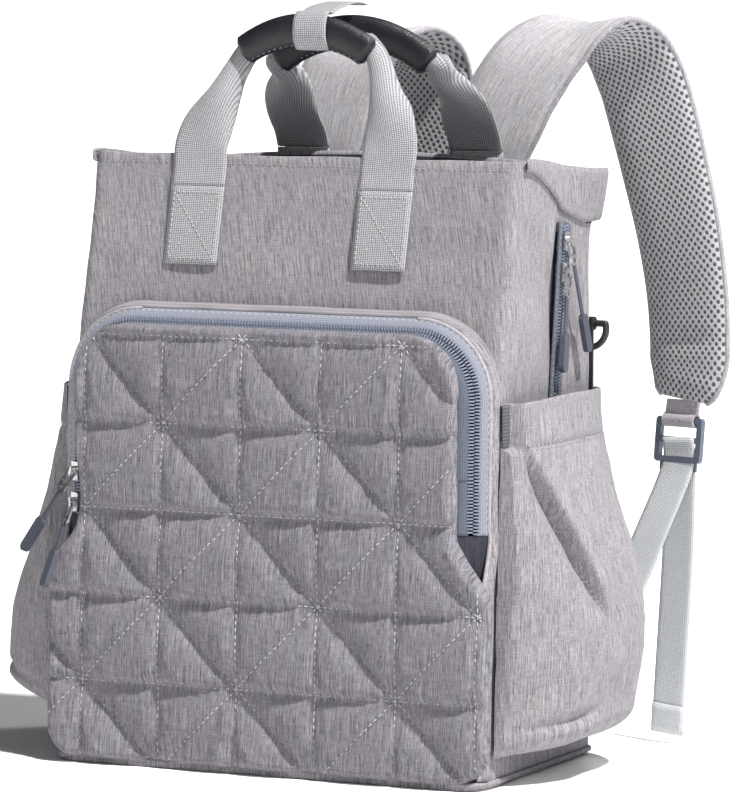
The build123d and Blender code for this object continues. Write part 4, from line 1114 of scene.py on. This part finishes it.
def make_wrap():
    """The webbing keeper round the front grip, whose tongue lies over towards the rear grip."""
    low, high = corners("handle_wrap")
    x = (low.x + high.x) / 2
    y, z = FRONT_HANDLE["y"], FRONT_HANDLE["top"]
    ry, rz = GRIP_D / 2 + 1.6, GRIP_H / 2 + 1.7
    line = [Vector((x, high.y, high.z - 2.0)), Vector((x, high.y - 14, high.z - 0.4)),
            Vector((x, y + 16, high.z - 3.0))]
    for k in range(13):
        a = math.radians(62 + 298 * k / 12)
        line.append(Vector((x, y + ry * math.cos(a), z + rz * math.sin(a))))
    line = curve_points(line, 2.0)
    build("grip_keeper", strip(line, WEB_W * 0.62, 1.4, (1, 0, 0)), WEBBING, "front_handle",
          ("handle_wrap",))


# ---- shoulder straps -----------------------------------------------------------------------------
STRAP_W, STRAP_T = 60.0, 13.0
STRAP_RIGHT = (
    (69, 93, 373), (70, 93, 380), (76, 95, 402), (88, 100, 430), (103, 108, 453), (120, 121, 467),
    (136, 135, 468), (148, 146, 456), (157, 151, 437), (164, 152, 415), (174, 151, 380), (184, 150, 340),
    (191, 150, 295), (193, 149, 252), (190, 147, 228),
)
STRAP_LEFT = (
    (-48, 93, 373), (-48, 93, 380), (-46, 95, 402), (-41, 100, 428), (-33, 108, 449), (-21, 121, 461),
    (-8, 135, 461), (1, 146, 450), (4, 151, 432), (3, 152, 410), (-4, 151, 374), (-14, 150, 334),
    (-26, 150, 292), (-37, 149, 254), (-42, 147, 230),
)


def pad_section(width, thick, count=14):
    """Outer half first (fabric), then the inner half (mesh): a pillow with pinched, bound edges."""
    outer, inner = [], []
    for j in range(count + 1):
        s = 2 * j / count - 1
        t = thick / 2 * (0.22 + 0.78 * (1 - abs(s) ** 3.2) ** 0.6)
        outer.append((s * width / 2, t))
        inner.append((s * width / 2, -t))
    return outer + inner[::-1]


def make_strap(points, name):
    line = curve_points(points, 4.0)
    run = lengths_of(line)
    total = run[-1]

    def across(share):
        turn = smooth(share, 0.42, 1.0)
        return (1.0, -0.24 * turn, 0.0)

    def width(share):
        tip = total * (1 - share)
        taper = 0.62 + 0.38 * math.sqrt(min(1.0, tip / 26.0))
        return STRAP_W * taper - 8.0 * (1 - smooth(share, 0.0, 0.12))

    def section(share):
        thick = STRAP_T * smooth(share, -0.06, 0.05) * (1 - 0.5 * smooth(share, 0.97, 1.0))
        pinch = 1 - 0.30 * bell(share - 0.40, 0.03) - 0.22 * bell(share - 0.9, 0.012)
        return pad_section(width(share), thick * pinch)

    pts, faces, uv = sweep(line, section, across)
    cols = len(section(0.5))
    half = cols // 2
    index = [0 if (k % cols) < half - 1 else 1 for k in range(len(faces) - 2)] + [0, 0]
    pad = build(f"strap_pad_{name}", (pts, faces, uv), [STRAP_FABRIC, MESH], None,
                (f"strap_upper_{name}", f"strap_lower_{name}"), index)
    edges = []
    for side in (-1, 1):
        edge = []
        for i, p in enumerate(line):
            share = run[i] / total
            along = tangent(line, i)
            direction = Vector(across(share))
            direction = (direction - along * direction.dot(along)).normalized()
            edge.append(p + direction * side * width(share) / 2)
        edges.append(edge)
    tubes = join([tube(edge, 1.9) for edge in edges])[:2]
    binding = build(f"strap_binding_{name}", tubes, BINDING, None)
    for item in (pad, binding):
        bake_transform(item)


def make_webbing():
    """Loops, adjusting webbing and tails of both straps."""
    for name in ("right", "left"):
        low, high = corners(f"buckle_{name}")
        across = (0.971, -0.238, 0.0)
        tail_low, tail_high = corners(f"webbing_tail_{name}")
        top = Vector(((low.x + high.x) / 2, tail_high.y - 3.6, tail_high.z))
        drop = tail_high.z - tail_low.z
        sways = ((0.0, 0.0, 0.0), (0.35, 1.5, 1.0), (0.7, 4.0, 2.5), (1.0, 7.0, 3.5))
        points = [(top.x - x, top.y - y, top.z - drop * share) for share, x, y in sways]
        line = curve_points(points, 5.0)
        wobble = [p + Vector((0, 0.9 * math.sin(k * 0.16), 0)) for k, p in enumerate(line)]
        tail = build(f"tail_webbing_{name}", strip(wobble, 25.0, 1.5, across), SLATE_WEBBING,
                     f"tail_{name}", (f"webbing_tail_{name}",))
        lengths_of(wobble)[-1] * MM
        build(f"tail_hem_{name}", strip(wobble[-5:], 25.6, 3.6, across), SLATE_WEBBING, f"tail_{name}")
        side = 1 if name == "right" else -1
        web_high = corners(f"lower_webbing_{name}")[1]
        start = Vector(((low.x + high.x) / 2, (low.y + high.y) / 2 - 3.4, web_high.z))
        end = Vector((134.0 * side, 88.6, 32.0))
        middle = start * 0.5 + end * 0.5 + Vector((0, 2.0, -7.0))
        over = start + Vector((0, 0.6, 20))
        line = curve_points([over, start, start.lerp(middle, 0.5) + Vector((0, 0, -1.5)), middle, end], 5.0)

        def turn(share, side=side):
            return (1.0, -0.24 * (1 - share) - 0.1 * side * share, 0.0)

        web = build(f"adjusting_webbing_{name}", sweep(line, lambda s: flat_section(25.0, 1.5), turn),
                    SLATE_WEBBING, None, (f"lower_webbing_{name}",))
        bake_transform(web)


def make_yoke():
    low, high = corners("strap_yoke")
    rows, cols = 16, 70
    points, uv = [], []
    for i in range(rows + 1):
        a = math.pi * i / rows
        for j in range(cols + 1):
            x = low.x + (high.x - low.x) * j / cols
            end = smooth(min(j, cols - j) / cols, 0, 0.03)
            z = (low.z + high.z) / 2 + (high.z - low.z) / 2 * math.cos(a) * (0.9 + 0.1 * end)
            y = low.y + 0.4 + (high.y - low.y) * math.sin(a) ** 0.5 * end + 0.5 * wave(x, 0, z, 25)
            points.append((x, y, z))
            uv.append((x, z))
    faces = lattice(rows + 1, cols + 1)
    build("strap_yoke_skin", (points, faces, uv), HEATHER, "bag", ("strap_yoke",))


# ---- CAD nodes that keep their shape -------------------------------------------------------------
def paint_nodes():
    looks = {
        "base_panel": HEATHER_PLAIN, "base_board": BLACK_PLASTIC, "lining": LINING,
        "top_closure_front": LINING, "top_closure_rear": LINING, "pocket_bellows": LINING,
        "lower_tabs": HEATHER_PLAIN, "ring_tabs": BLACK_PLASTIC,
    }
    for name in ("right", "left"):
        looks[f"strap_loop_{name}"] = BINDING
        looks[f"buckle_{name}"] = SLATE_PLASTIC
        looks[f"ring_{name}"] = BLACK_PLASTIC
    for name in ("front_upper", "front_lower", "side_upper", "side_lower"):
        looks[f"slider_{name}"] = METAL
        looks[f"tab_{name}"] = METAL
        looks[f"pull_{name}"] = RUBBER
    for name, material in looks.items():
        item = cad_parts[name]
        for slot in item.material_slots:
            slot.material = material


# ---- stage ---------------------------------------------------------------------------------------
AZIMUTH, ELEVATION, DISTANCE = math.radians(25.66), math.radians(5.59), 3.6
TARGET = Vector((0.0278, 0.0, 0.2338))
LENS = 250.9


def make_camera():
    data = bpy.data.cameras.new("camera")
    data.lens = LENS
    data.sensor_width = 36.0
    camera = bpy.data.objects.new("camera", data)
    bpy.context.scene.collection.objects.link(camera)
    flat = math.cos(ELEVATION)
    away = Vector((math.sin(AZIMUTH) * flat, -math.cos(AZIMUTH) * flat, math.sin(ELEVATION)))
    camera.location = TARGET + away * DISTANCE
    camera.rotation_euler = (-away).to_track_quat("-Z", "Y").to_euler()
    bpy.context.scene.camera = camera


def area_light(name, place, size, power, color=(1, 1, 1)):
    data = bpy.data.lights.new(name, "AREA")
    data.size = size
    data.energy = power
    data.color = color
    light = bpy.data.objects.new(name, data)
    bpy.context.scene.collection.objects.link(light)
    light.location = place
    light.rotation_euler = (Vector((0, 0, 0.2)) - Vector(place)).to_track_quat("-Z", "Y").to_euler()


def make_stage():
    size = 60.0
    data = bpy.data.meshes.new("floor")
    square = [(-size, -size, 0), (size, -size, 0), (size, size, 0), (-size, size, 0)]
    data.from_pydata(square, [], [(0, 1, 2, 3)])
    data.materials.append(FLOOR)
    floor = bpy.data.objects.new("floor", data)
    floor.location.z = -0.0005
    bpy.context.scene.collection.objects.link(floor)
    world = bpy.data.worlds.new("studio")
    world.use_nodes = True
    nodes, links = world.node_tree.nodes, world.node_tree.links
    background = nodes["Background"]
    background.inputs["Color"].default_value = (1, 1, 1, 1)
    background.inputs["Strength"].default_value = 1.0
    dim = nodes.new("ShaderNodeBackground")
    dim.inputs["Color"].default_value = (0.93, 0.95, 1.0, 1)
    dim.inputs["Strength"].default_value = 0.12
    blend = nodes.new("ShaderNodeMixShader")
    links.new(nodes.new("ShaderNodeLightPath").outputs["Is Camera Ray"], blend.inputs[0])
    links.new(dim.outputs[0], blend.inputs[1])
    links.new(background.outputs[0], blend.inputs[2])
    links.new(blend.outputs[0], nodes["World Output"].inputs["Surface"])
    bpy.context.scene.world = world
    bpy.context.scene.view_settings.view_transform = "Standard"
    data = bpy.data.lights.new("key", "SUN")
    data.energy = 5.8
    data.angle = math.radians(4.0)
    data.color = (1.0, 0.99, 0.975)
    key = bpy.data.objects.new("key", data)
    bpy.context.scene.collection.objects.link(key)
    key.rotation_euler = Vector((-0.45, 0.15, -0.88)).to_track_quat("-Z", "Y").to_euler()
    area_light("fill", (1.15, -0.75, 0.75), 0.4, 4.5, (1.0, 0.99, 0.98))
    area_light("rim", (0.9, 1.9, 1.9), 0.8, 25)


make_camera()
make_stage()
make_shell()
make_rim_seams()
make_base()
make_back_pad()
make_quilt()
make_front_zip()
make_gusset()
make_side_zip()
make_side_pockets()
make_handles()
make_strap(STRAP_RIGHT, "right")
make_strap(STRAP_LEFT, "left")
make_webbing()
make_yoke()
paint_nodes()
